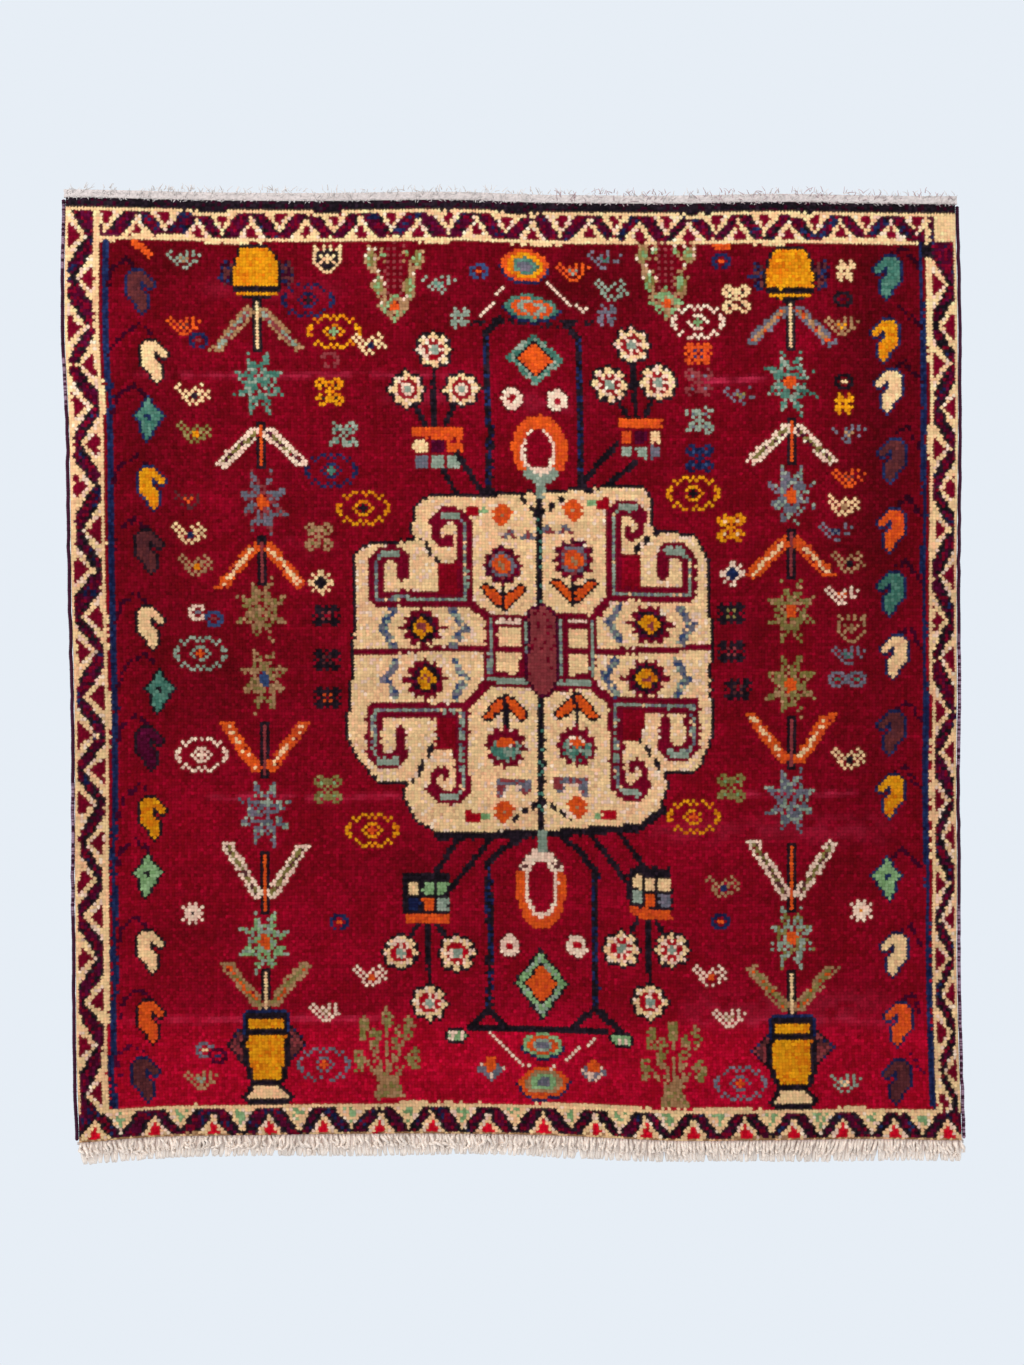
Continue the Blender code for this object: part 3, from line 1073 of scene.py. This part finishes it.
class Field:
    """A socket that takes part in sums: values in Math nodes, colours in Mix and Vector Math nodes."""

    def __init__(self, tree, socket):
        self.tree = tree
        self.socket = socket

    def node(self, kind, settings=None, **values):
        made = self.tree.nodes.new(kind)
        for key, value in (settings or {}).items():
            setattr(made, key, value)
        for key, value in values.items():
            wanted = made.inputs[int(key[1:])] if key[1:].isdigit() else made.inputs[key]
            if isinstance(value, Field):
                self.tree.links.new(value.socket, wanted)
            else:
                wanted.default_value = value
        return made

    def pick(self, made, output=0):
        return Field(self.tree, made.outputs[output])

    def maths(self, operation, first, second):
        return self.pick(self.node("ShaderNodeMath", {"operation": operation}, i0=first, i1=second))

    def __add__(self, other):
        return self.maths("ADD", self, other)

    def __radd__(self, other):
        return self.maths("ADD", other, self)

    def __sub__(self, other):
        return self.maths("SUBTRACT", self, other)

    def __rsub__(self, other):
        return self.maths("SUBTRACT", other, self)

    def __mul__(self, other):
        return self.maths("MULTIPLY", self, other)

    def __rmul__(self, other):
        return self.maths("MULTIPLY", other, self)

    def scaled(self, factor):
        """A colour or vector times a value."""
        return self.pick(self.node("ShaderNodeVectorMath", {"operation": "SCALE"}, i0=self, Scale=factor))

    def times(self, other):
        """A vector times three numbers."""
        return self.pick(self.node("ShaderNodeVectorMath", {"operation": "MULTIPLY"}, i0=self, i1=other))

    def blended(self, other, share):
        """This colour, mixed with another one by a share."""
        made = self.node("ShaderNodeMix", {"data_type": "RGBA"}, i0=share, i6=self, i7=other)
        return self.pick(made, 2)

    def noise(self, scale, detail=2.0, rough=0.5):
        """Soft noise read at this place, from 0 to 1."""
        values = {"Vector": self, "Scale": scale, "Detail": detail, "Roughness": rough}
        return self.pick(self.node("ShaderNodeTexNoise", **values))

    def ridges(self, way, scale, distortion, detail):
        """Even ridges that follow each other this way, from 0 to 1."""
        values = {"Vector": self, "Scale": scale, "Distortion": distortion, "Detail": detail}
        return self.pick(self.node("ShaderNodeTexWave", {"bands_direction": way}, **values), 1)

    def dye(self):
        """The colour that is set on the mesh, knot by knot or yarn by yarn: the dye, with the painted light
        and shade of the pile's tufts and the yarns' roots.
        """
        return self.pick(self.node("ShaderNodeAttribute", {"attribute_name": "dye"}))


def start_material(name, roughness, sheen=0.0, sheen_tint=(1, 1, 1)):
    """A new fibre material, with its shader and the place on the rug in metres."""
    material = bpy.data.materials.new(name)
    material.use_nodes = True
    tree = material.node_tree
    shader = tree.nodes["Principled BSDF"]
    shader.inputs["Roughness"].default_value = roughness
    shader.inputs["Specular IOR Level"].default_value = 0.05
    shader.inputs["Sheen Weight"].default_value = sheen
    shader.inputs["Sheen Roughness"].default_value = 0.45
    shader.inputs["Sheen Tint"].default_value = (*sheen_tint, 1)
    where = Field(tree, tree.nodes.new("ShaderNodeTexCoord").outputs["Object"])
    return material, shader, where


def connect(shader, **values):
    for key, value in values.items():
        value.tree.links.new(value.socket, shader.inputs[key.replace("_", " ")])


def raised(height, strength, distance):
    """A normal that follows this height."""
    made = height.node("ShaderNodeBump", Strength=strength, Distance=distance, Height=height)
    return height.pick(made)


BARE_WARP = (0.46, 0.33, 0.27, 1)
back_wool, shader, where = start_material("knot_backs", 0.92, 0.1)
wefts = where.ridges("Z", 136.0, 1.2, 2.0)
warps = where.ridges("X", 136.0, 0.8, 1.0)
grain = where.noise(900.0)
weave = wefts * 0.6 + warps * 0.4
shade = 0.62 + weave * 0.4 + grain * 0.16
bare = 0.3 - wefts * 0.6
connect(
    shader,
    Base_Color=where.dye().scaled(shade).blended(BARE_WARP, bare.maths("MAXIMUM", bare, 0.0)),
    Normal=raised(weave + grain * 0.4, 0.7, 0.0006),
)

back_across, back_down = np.meshgrid(np.linspace(0, 1, KNOTS_ACROSS + 1), np.linspace(0, 1, KNOT_ROWS + 1))
back_points = place(back_across, back_down, PILE_INSET)
back_rng = np.random.default_rng(6)
inner_knots = (KNOT_ROWS - 1, KNOTS_ACROSS - 1)
back_points[1:-1, 1:-1, 1] -= back_rng.uniform(0.0, 0.35, inner_knots) * MM
back_points[1:-1, 1:-1, 0] += back_rng.uniform(-0.25, 0.25, inner_knots) * MM
# The back takes the knots' colours, with their painted shade and light, a little darker.
back_colours = np.repeat((knot_colours * 0.72 + 0.012).reshape(-1, 1, 3), 4, axis=1)
back_uv = np.stack([back_across, 1 - back_down], axis=-1).reshape(-1, 2) * 0.98 + 0.01
back_faces = grid_faces(KNOT_ROWS + 1, KNOTS_ACROSS + 1)[:, ::-1]
knotted_back = mesh_piece(
    "knotted_back",
    back_points.reshape(-1, 3),
    back_faces,
    back_colours,
    back_wool,
    node="pile_cloth",
    uv=back_uv[back_faces],
)


# The pile
# The cut ends of the knots, 8 mm tall, each a soft tuft of its own dye, painted lighter at its tip and with
# painted shade in the valley round it.
# Iron in the black dye eats the wool, so the dark knots are worn lower than the rest.
PILE_THICKNESS = 8.0 * MM
TUFT_RISE = 0.55 * MM
VALLEY_SINK = 0.75 * MM
TUFT_STRAY = 0.24 * MM
DARK_WEAR = 0.5 * MM
TOOTH_REACH = 0.55 * MM
PILE_BANDS = 4

steps_down = 2 * KNOT_ROWS + 1
steps_across = 2 * KNOTS_ACROSS + 1
pile_across, pile_down = np.meshgrid(np.linspace(0, 1, steps_across), np.linspace(0, 1, steps_down))
odd_down = (np.arange(steps_down) % 2 == 1)[:, None]
odd_across = (np.arange(steps_across) % 2 == 1)[None, :]
valleys = 2 - odd_down.astype(int) - odd_across.astype(int)

pile_rng = np.random.default_rng(8)
knot_height = pile_rng.normal(0, 0.16, chart.shape) * MM + smooth_noise(chart.shape, (40, 36), 9) * 0.25 * MM
dark = tied_in("soot", "navy", "aubergine")
knot_height = knot_height - DARK_WEAR * dark
for row, width, start, end, strength in WORN_LINES:
    fold = np.exp(-(((rows - row) / (width + 1.2)) ** 2))
    knot_height = knot_height - 0.9 * MM * strength * fold * (columns > start) * (columns < end)


def spread(knots):
    """A value for each knot, carried to the grid's points: its own at the middle, shared at the valleys."""
    padded = np.pad(knots, [(1, 1), (1, 1)] + [(0, 0)] * (knots.ndim - 2), mode="edge")
    spread_out = np.empty((steps_down, steps_across) + knots.shape[2:])
    spread_out[1::2, 1::2] = knots
    spread_out[0::2, 1::2] = (padded[:-1, 1:-1] + padded[1:, 1:-1]) / 2
    spread_out[1::2, 0::2] = (padded[1:-1, :-1] + padded[1:-1, 1:]) / 2
    spread_out[0::2, 0::2] = (padded[:-1, :-1] + padded[1:, :-1] + padded[:-1, 1:] + padded[1:, 1:]) / 4
    return spread_out


height = spread(knot_height) + TUFT_RISE * (valleys == 0) - VALLEY_SINK * (valleys / 2)
height = height + pile_rng.normal(0, 0.10, height.shape) * MM
edge_knots = np.minimum(
    np.minimum(pile_across, 1 - pile_across) * KNOTS_ACROSS,
    np.minimum(pile_down, 1 - pile_down) * KNOT_ROWS,
)
shoulder = 1 - 0.5 * np.clip(1 - edge_knots / 2.2, 0, 1) ** 2
front = np.clip((PILE_THICKNESS - 0.8 * MM + height) * shoulder, 0.5 * MM, PILE_THICKNESS + 1.2 * MM)
pile_points = place(pile_across, pile_down, PILE_INSET, front)
inner = (edge_knots > 0.2)[..., None]
stray = pile_rng.normal(0, 1, pile_points.shape) * TUFT_STRAY * (1, 0, 1)
pile_points = pile_points + stray * inner

# A pale tuft bulges over a dark one beside it but not at its corners, so the edge of two dyes is toothed.
lightness = np.pad(np.sqrt(knot_colours @ (0.3, 0.5, 0.2)), 1, mode="edge")
push = TOOTH_REACH * (pile_rng.random((steps_down, steps_across)) * 0.5 + 0.75)
pile_points[1::2, 0::2, 0] += push[1::2, 0::2] * (lightness[1:-1, :-1] - lightness[1:-1, 1:])
pile_points[0::2, 1::2, 2] -= push[0::2, 1::2] * (lightness[:-1, 1:-1] - lightness[1:, 1:-1])
left_light = lightness[:-1, :-1] + lightness[1:, :-1] - lightness[:-1, 1:] - lightness[1:, 1:]
upper_light = lightness[:-1, :-1] + lightness[:-1, 1:] - lightness[1:, :-1] - lightness[1:, 1:]
pile_points[0::2, 0::2, 0] -= push[0::2, 0::2] * 0.7 * left_light
pile_points[0::2, 0::2, 2] += push[0::2, 0::2] * 0.7 * upper_light
pile_points[..., 2] -= 0.5 * MM * inner[..., 0]

ring_points = np.pad(pile_points, [(1, 1), (1, 1), (0, 0)], mode="edge")
ring_back = place(
    np.pad(pile_across, 1, mode="edge"), np.pad(pile_down, 1, mode="edge"), PILE_INSET, 0.2 * MM
)
rim = np.ones(ring_points.shape[:2], bool)
rim[1:-1, 1:-1] = False
ring_points[rim] = ring_back[rim]

shared = np.pad(spread(knot_colours), [(1, 1), (1, 1), (0, 0)], mode="edge")
ring_valleys = np.pad(valleys, 1, mode="constant", constant_values=3)
# Painted light and shade on each tuft: its tip is painted lighter, its sides and valleys darker, and darkest
# round the rim of the pile.
TUFT_LIGHT_AND_SHADE = np.array((1.08, 0.95, 0.82, 0.45))
VALLEY_BLEED = np.array((0.0, 0.22, 0.34, 0.3))
ring_down, ring_across = ring_points.shape[:2]
ring_faces = grid_faces(ring_down, ring_across)
face_row, face_column = np.divmod(np.arange(len(ring_faces)), ring_across - 1)
face_knot_row = np.clip((face_row - 1) // 2, 0, KNOT_ROWS - 1)
face_knot_column = np.clip((face_column - 1) // 2, 0, KNOTS_ACROSS - 1)
own = knot_colours[face_knot_row, face_knot_column][:, None, :]
corner_valley = ring_valleys.reshape(-1)[ring_faces]
bleed = VALLEY_BLEED[corner_valley][..., None]
corner_colours = own * (1 - bleed) + shared.reshape(-1, 3)[ring_faces] * bleed
# Painted light and shade: each face corner is made lighter or darker by how deep it lies among the valleys.
corner_colours = corner_colours * TUFT_LIGHT_AND_SHADE[corner_valley][..., None]

pile_wool, shader, where = start_material("shorn_pile_wool", 0.9, 0.03, (1.0, 0.5, 0.5))
fibres = where.times((1.0, 1.0, 0.45)).noise(2600.0, 3.0, 0.6)
tufts = where.noise(520.0, 2.0, 0.5)
wear = where.noise(26.0, 4.0, 0.6)
shade = 0.6 + fibres * 0.42 + tufts * 0.2 + wear * 0.22
connect(
    shader,
    Base_Color=where.dye().scaled(shade),
    Roughness=0.86 + wear * 0.14,
    Normal=raised(fibres + tufts * 0.7, 0.6, 0.0007),
)

# The pile is cut into bands of rows. Each band's bake map lays its two halves one above the other.
band_edges = [1 + 2 * (KNOT_ROWS // PILE_BANDS) * number for number in range(PILE_BANDS)] + [ring_down - 1]
band_edges[0] = 0
half_across = (ring_across - 1) // 2
right_half = face_column >= half_across
for number in range(PILE_BANDS):
    first, last = band_edges[number], band_edges[number + 1]
    chosen = (face_row >= first) & (face_row < last)
    faces = ring_faces[chosen] - first * ring_across
    corner_row, corner_column = np.divmod(faces, ring_across)
    right = right_half[chosen][:, None]
    u = 0.01 + 0.98 * (corner_column - half_across * right) / (half_across + 1)
    v = 0.01 + 0.48 * corner_row / (last - first) + 0.5 * right
    piece = mesh_piece(
        f"pile_band_{number + 1}",
        ring_points[first : last + 1].reshape(-1, 3),
        faces,
        corner_colours[chosen],
        pile_wool,
        node="pile_cloth",
        uv=np.stack([u, v], axis=-1).reshape(-1, 2),
    )


# The selvedges
# Along each side the outer warps are overcast with dark aubergine wool, wrap against wrap.
# In some places the wraps have worn pale.
SELVEDGE_DEPTH = 2.6 * MM
SELVEDGE_LENGTH = 0.68
WRAP_STEP = 0.8 * MM
WRAP_SIDES = 8
OVERCAST_DYE = (62, 20, 44)
WORN_OVERCAST = (150, 120, 138)
WORN_PATCHES = {
    "selvedge_left": ((0.0, 0.075), (0.17, 0.22), (0.62, 0.76)),
    "selvedge_right": ((0.46, 0.6), (0.75, 1.0)),
}


def tube_rings(path, radii, sides):
    """Rings of points round each path, which is an array of paths, their points and three numbers."""
    tangent = np.gradient(path, axis=-2)
    tangent /= np.linalg.norm(tangent, axis=-1, keepdims=True) + 1e-12
    reference = np.broadcast_to(np.array((0.13, -1.0, 0.09)), tangent.shape)
    first = np.cross(tangent, reference)
    first /= np.linalg.norm(first, axis=-1, keepdims=True) + 1e-12
    second = np.cross(tangent, first)
    angle = np.arange(sides) * 2 * np.pi / sides
    ring = first[..., None, :] * np.cos(angle)[:, None] + second[..., None, :] * np.sin(angle)[:, None]
    return path[..., None, :] + ring * radii[..., None, None]


def yarn_piece(name, path, radii, sides, tones, material, node):
    """One joined mesh of yarns with an even number of sides, closed at both ends.

    Each yarn has one tone, or one for each step along it.
    """
    count, steps = path.shape[:2]
    rings = tube_rings(path, radii, sides)
    number = np.arange(count * steps * sides).reshape(count, steps, sides)
    after = np.roll(number, -1, axis=2)
    walls = np.stack([number[:, :-1], number[:, 1:], after[:, 1:], after[:, :-1]], axis=-1).reshape(-1, 4)
    caps = np.concatenate([number[:, 0, :], number[:, -1, ::-1]])
    ends = [caps[:, [0, step, step + 1, step + 2]] for step in range(1, sides - 2, 2)]
    faces = np.concatenate([walls, *ends])
    tones = tones.reshape(count, -1, 3)
    tones = np.repeat(tones, steps * sides // tones.shape[1], axis=1).reshape(-1, 3)
    return mesh_piece(name, rings.reshape(-1, 3), faces, tones[faces], material, node)


overcast_wool, shader, where = start_material("overcast_wool", 0.9, 0.3, (0.9, 0.8, 0.9))
wraps = where.ridges("Z", 200.0, 1.5, 2.0)
grain = where.noise(1500.0, 3.0, 0.6)
connect(
    shader,
    Base_Color=where.dye().scaled(0.6 + wraps * 0.35 + grain * 0.4),
    Normal=raised(wraps + grain * 0.5, 0.8, 0.0005),
)
for name, side in (("selvedge_left", -1), ("selvedge_right", 1)):
    steps = round(SELVEDGE_LENGTH / WRAP_STEP)
    down = np.linspace(0.002, 0.998, steps)
    middle = place(np.full(steps, float(side > 0)), down, 0.0, SELVEDGE_DEPTH)
    middle[:, 0] -= side * SELVEDGE_RADIUS
    edge_rng = np.random.default_rng(21 + side)
    middle[:, 0] += 0.16 * MM * np.interp(down, np.linspace(0, 1, 90), edge_rng.normal(0, 1, 90))
    radii = SELVEDGE_RADIUS * np.where(np.arange(steps) % 2, 1.04, 0.88)
    radii = radii * (1 + 0.04 * edge_rng.normal(0, 1, steps))
    radii[[0, -1]] *= 0.5
    worn = sum(((down > low) & (down < high)).astype(float) for low, high in WORN_PATCHES[name])
    worn = worn * (edge_rng.random(steps) < 0.5)
    tone = linear(OVERCAST_DYE) * (1 + 0.25 * edge_rng.normal(0, 1, (steps, 1)))
    tone = np.clip(tone * (1 - worn[:, None]) + linear(WORN_OVERCAST) * worn[:, None], 0.002, 1)
    piece = yarn_piece(
        name + "_wraps",
        middle[None],
        radii[None],
        WRAP_SIDES,
        tone,
        overcast_wool,
        node=name,
    )


# The flat-woven ends
# Above and below the pile a few rows of plain weave in undyed wool lock the last knots in place.
# At the top it is worn down to a frayed band, and at the foot only its rim shows under the pile.
STRIP_DEPTH = 2.2 * MM
TOP_STRIP_HEIGHT = 6.2 * MM
BOTTOM_RIM_HEIGHT = 2.1 * MM
STRIP_COLUMNS = 560
STRIP_ROWS = 8
STRIP_YARN = (228, 214, 208)

warp_yarn, shader, where = start_material("undyed_warp_yarn", 0.88, 0.15)
grain = where.noise(1800.0, 3.0, 0.6)
dust = where.noise(60.0, 3.0, 0.6)
connect(
    shader,
    Base_Color=where.dye().scaled(0.72 + grain * 0.3 + dust * 0.24),
    Normal=raised(grain, 0.6, 0.0004),
)


def woven_strip(name, down, drop_start, drop_end, seed, node):
    """A narrow plain-woven band, closed, with its threads raised on the front."""
    strip_rng = np.random.default_rng(seed)
    across, fall = np.meshgrid(np.linspace(0, 1, STRIP_COLUMNS + 1), np.linspace(0, 1, STRIP_ROWS + 1))
    drop = drop_start + fall * (drop_end - drop_start)
    over = (np.arange(STRIP_COLUMNS + 1)[None, :] + np.arange(STRIP_ROWS + 1)[:, None]) % 2
    front = STRIP_DEPTH - 0.9 * MM + over * 0.55 * MM + strip_rng.normal(0, 0.12, across.shape) * MM
    level = np.full(across.shape, float(down))
    face = place(across, level, SELVEDGE_RADIUS, front, drop)
    face[..., 0] += strip_rng.normal(0, 0.12, across.shape) * MM
    back = place(across, level, SELVEDGE_RADIUS, 0.1 * MM, drop)
    points = np.concatenate([back[:1], face, back[-1:]]).reshape(-1, 3)
    faces = grid_faces(STRIP_ROWS + 3, STRIP_COLUMNS + 1)
    last = (STRIP_ROWS + 2) * (STRIP_COLUMNS + 1)
    top = np.arange(STRIP_COLUMNS)
    faces = np.concatenate([faces, np.stack([top, top + 1, last + top + 1, last + top], axis=-1)])
    tone = linear(STRIP_YARN) * (0.8 + 0.3 * strip_rng.random((len(points), 1)))
    return mesh_piece(name, points, faces, tone[faces], warp_yarn, node)


top_weave = woven_strip("top_flat_weave", 0, -TOP_STRIP_HEIGHT, -0.1 * MM, 31, "end_band_top")
bottom_weave = woven_strip("bottom_flat_weave", 1, 0.1 * MM, BOTTOM_RIM_HEIGHT, 32, "end_band_bottom")


# The warp ends
# Every knot has two warps. Below the pile one is a short curly yarn of two strands, in front,
# and the other hangs straight behind it. At the top the ends were cut short and have frayed into
# a pale fuzz.
CURLY_ENDS = 276
CURLY_LENGTH = 13.0 * MM
STRAND_RADIUS = 0.98 * MM
STRAND_OFFSET = 0.72 * MM
TWIST_PITCH = 2.8 * MM
LOOP_SIZE = 1.9 * MM
CURLY_YARN = (255, 236, 220)
STRAIGHT_ENDS = 300
STRAIGHT_LENGTH = 17.0 * MM
STRAIGHT_RADIUS = 1.7 * MM
STRAIGHT_YARN = (250, 234, 220)
FRAYED_HAIRS = 1200
HAIR_CEILING = 7.6 * MM
PALE_HAIR = (232, 222, 216)
PINK_HAIR = (204, 176, 176)


def shaded_root(tone, run, places, shades, tinted_to, shade_tint):
    """The tone of a yarn with painted shade near the knots, where it hangs under the pile: darker there and
    warmer.
    """
    shade = np.interp(run, places, shades)[None, :, None]
    tinted = np.interp(run, (0, tinted_to), (1, 0))[None, :, None]
    return tone * shade * (1 - tinted * np.array(shade_tint))


def twisted_ends(name, count, seed, length, steps):
    ends_rng = np.random.default_rng(seed)
    across = (np.arange(count) + 0.5 + ends_rng.uniform(-0.3, 0.3, count)) / count
    run = np.linspace(0, 1, steps)
    long = length * (1 + 0.12 * ends_rng.normal(0, 1, count))
    straight = np.clip((across - 0.52) / 0.1, 0.1, 1) * np.clip((1.02 - across) / 0.1, 0.4, 1)
    curl = (1 - 0.8 * straight) * LOOP_SIZE * ends_rng.uniform(0.4, 1.5, count)
    lean = (ends_rng.normal(0, 0.7, count) + 0.9 * np.sin(across * 19 + 1.2)) * MM - straight * 0.6 * MM
    phase = ends_rng.uniform(0, 2 * np.pi, count)
    bends = ends_rng.uniform(0.7, 1.5, count)
    root = place(across, np.ones(count), PILE_INSET, 2.2 * MM, -1.5 * MM)
    path = np.repeat(root[:, None, :], steps, axis=1)
    turn = phase[:, None] + 2 * np.pi * bends[:, None] * run
    swing = np.sin(turn) - np.sin(phase)[:, None]
    swell = np.cos(turn) - np.cos(phase)[:, None]
    path[..., 0] += lean[:, None] * run**1.4 * 2 + curl[:, None] * swing * run
    path[..., 1] -= (1.6 * MM + 0.7 * curl[:, None] * swell) * run
    path[..., 2] -= long[:, None] * run * (1 - 0.12 * run) - curl[:, None] * 0.5 * swell * run
    path[..., 1] = np.minimum(path[..., 1], root[:, None, 1] + 0.8 * MM)
    strands = []
    for strand in (0, np.pi):
        twist = strand + run * length / TWIST_PITCH * 2 * np.pi + phase[:, None]
        wide = STRAND_OFFSET * (1 + 0.8 * run**3)
        offset = np.stack([np.cos(twist) * wide, np.sin(twist) * wide, np.zeros_like(twist)], axis=-1)
        strands.append(path + offset)
    path = np.concatenate(strands)
    radii = STRAND_RADIUS * np.ones(path.shape[:2]) * np.interp(run, (0, 0.88, 1), (1, 1, 0.5))
    tone = linear(CURLY_YARN) * ends_rng.uniform(0.86, 1.08, (len(path), 1, 1))
    # Painted shade at the roots of the curly yarns, under the pile.
    tone = shaded_root(tone, run, (0, 0.12, 0.26, 1), (0.6, 0.86, 1.04, 1.04), 0.25, (0.0, 0.2, 0.18))
    return yarn_piece(name, path, radii, 4, tone, warp_yarn, "end_band_bottom")


def hanging_ends(name, count, seed, length, steps):
    ends_rng = np.random.default_rng(seed)
    across = (np.arange(count) + 0.5 + ends_rng.uniform(-0.25, 0.25, count)) / count
    run = np.linspace(0, 1, steps)
    waviness = 0.7 + 0.3 * np.sin(across * 23 + 0.5) + 0.12 * ends_rng.normal(0, 1, count)
    long = length * (0.9 + 0.12 * waviness)
    root = place(across, np.ones(count), PILE_INSET, 1.2 * MM, -1.0 * MM)
    path = np.repeat(root[:, None, :], steps, axis=1)
    lean = (ends_rng.normal(0, 0.5, count) + 0.9 * np.sin(across * 17 + 2)) * MM
    path[..., 0] += lean[:, None] * run**1.5 * 2
    path[..., 2] -= long[:, None] * run
    path = path + ends_rng.normal(0, 0.14, path.shape) * MM * run[:, None]
    radii = STRAIGHT_RADIUS * np.ones(path.shape[:2]) * np.interp(run, (0, 0.8, 1), (1, 0.95, 0.6))
    tone = linear(STRAIGHT_YARN) * ends_rng.uniform(0.86, 1.04, (count, 1, 1))
    # Painted shade at the roots of the hanging yarns, under the pile.
    tone = shaded_root(tone, run, (0, 0.4, 0.65, 1), (0.62, 0.84, 0.98, 0.98), 0.6, (0.0, 0.13, 0.14))
    return yarn_piece(name, path, radii, 4, tone, warp_yarn, "end_band_bottom")


def frayed_ends(name, count, seed, steps):
    fray_rng = np.random.default_rng(seed)
    across = np.sort(fray_rng.uniform(0.002, 0.998, count))
    run = np.linspace(0, 1, steps)
    falling = fray_rng.random(count) < 0.4
    start = np.where(falling, fray_rng.uniform(0.0, 1.5, count), fray_rng.uniform(1.5, 8.5, count)) * MM
    root = place(across, np.zeros(count), SELVEDGE_RADIUS, 1.4 * MM, -start)
    path = np.repeat(root[:, None, :], steps, axis=1)
    long = np.where(falling, fray_rng.uniform(2.0, 4.6, count), fray_rng.uniform(2.5, 6.5, count)) * MM
    turn = fray_rng.normal(0, 0.6, count)
    way = np.where(falling, -1, 1)
    path[..., 0] += np.sin(turn)[:, None] * long[:, None] * run
    path[..., 2] += (way * np.cos(turn) * long)[:, None] * run * (1 - 0.3 * run)
    forward = np.where(falling, 5.4, fray_rng.uniform(0.2, 1.8, count)) * MM
    path[..., 1] -= forward[:, None] * run**0.6
    path = path + fray_rng.normal(0, 0.22, path.shape) * MM * run[:, None]
    path[..., 2] = np.minimum(path[..., 2], HAIR_CEILING)
    radii = fray_rng.uniform(0.2, 0.46, count)[:, None] * MM * np.interp(run, (0, 1), (1, 0.45))
    pink = (across > 0.55) & (fray_rng.random(count) < 0.5)
    tone = np.where(pink[:, None], linear(PINK_HAIR), linear(PALE_HAIR))
    tone = tone * fray_rng.uniform(0.72, 1.08, (count, 1))
    return yarn_piece(name, path, radii, 4, tone, warp_yarn, "end_band_top")


curly_ends = twisted_ends("bottom_warp_ends", CURLY_ENDS, 41, CURLY_LENGTH, steps=12)
straight_ends = hanging_ends("bottom_straight_ends", STRAIGHT_ENDS, 43, STRAIGHT_LENGTH, steps=8)
top_ends = frayed_ends("top_frayed_ends", FRAYED_HAIRS, 42, steps=4)


# The studio
# A pale floor below the hung rug, pale surroundings, and soft light from the upper left.
# The camera looks straight at the rug, as the photograph does.
EYE_DISTANCE = 1.6
EYE_ACROSS = -0.0007
EYE_HEIGHT = -0.355
PICTURE_HEIGHT = 0.9855
eye = bpy.data.cameras.new("eye")
eye.lens = eye.sensor_width * (EYE_DISTANCE - PILE_THICKNESS) / PICTURE_HEIGHT
eye_holder = bpy.data.objects.new("eye", eye)
eye_holder.location = (EYE_ACROSS, -EYE_DISTANCE, EYE_HEIGHT)
eye_holder.rotation_euler = (math.pi / 2, 0, 0)
bpy.context.scene.collection.objects.link(eye_holder)
bpy.context.scene.camera = eye_holder

FLOOR_HEIGHT = -1.1
bpy.ops.mesh.primitive_plane_add(size=1, location=(0, -0.35, FLOOR_HEIGHT))
floor = bpy.context.active_object
floor.name = "studio_floor"
floor.scale = (3.0, 1.9, 1)
paint, shader, where = start_material("pale_floor", 0.7)
connect(shader, Base_Color=where.noise(3.0, 2.0).blended((0.8, 0.82, 0.84, 1), 0.9))
floor.data.materials.append(paint)


RUG_MIDDLE = (0, 0, -0.35)


def soft_light(name, stands_at, size, power, colour):
    lamp = bpy.data.lights.new(name, "AREA")
    lamp.shape = "DISK"
    lamp.size = size
    lamp.energy = power
    lamp.color = colour
    holder = bpy.data.objects.new(name, lamp)
    holder.location = stands_at
    bpy.context.scene.collection.objects.link(holder)
    aim_at = bpy.data.objects.new(name + "_aim", None)
    aim_at.location = RUG_MIDDLE
    bpy.context.scene.collection.objects.link(aim_at)
    holder.constraints.new("TRACK_TO").target = aim_at


soft_light("window_light", (-1.5, -1.5, 1.0), 0.9, 26, (1.0, 0.98, 0.95))
soft_light("fill_light", (1.6, -1.8, -0.2), 1.4, 7, (0.92, 0.96, 1.0))
soft_light("back_light", (0.6, 2.0, 0.9), 1.2, 16, (0.95, 0.97, 1.0))

surroundings = bpy.data.worlds.new("pale_studio")
surroundings.use_nodes = True
background = surroundings.node_tree.nodes["Background"]
background.inputs["Color"].default_value = (0.84, 0.9, 0.97, 1)
background.inputs["Strength"].default_value = 0.95
bpy.context.scene.world = surroundings
bpy.context.scene.view_settings.view_transform = "Standard"
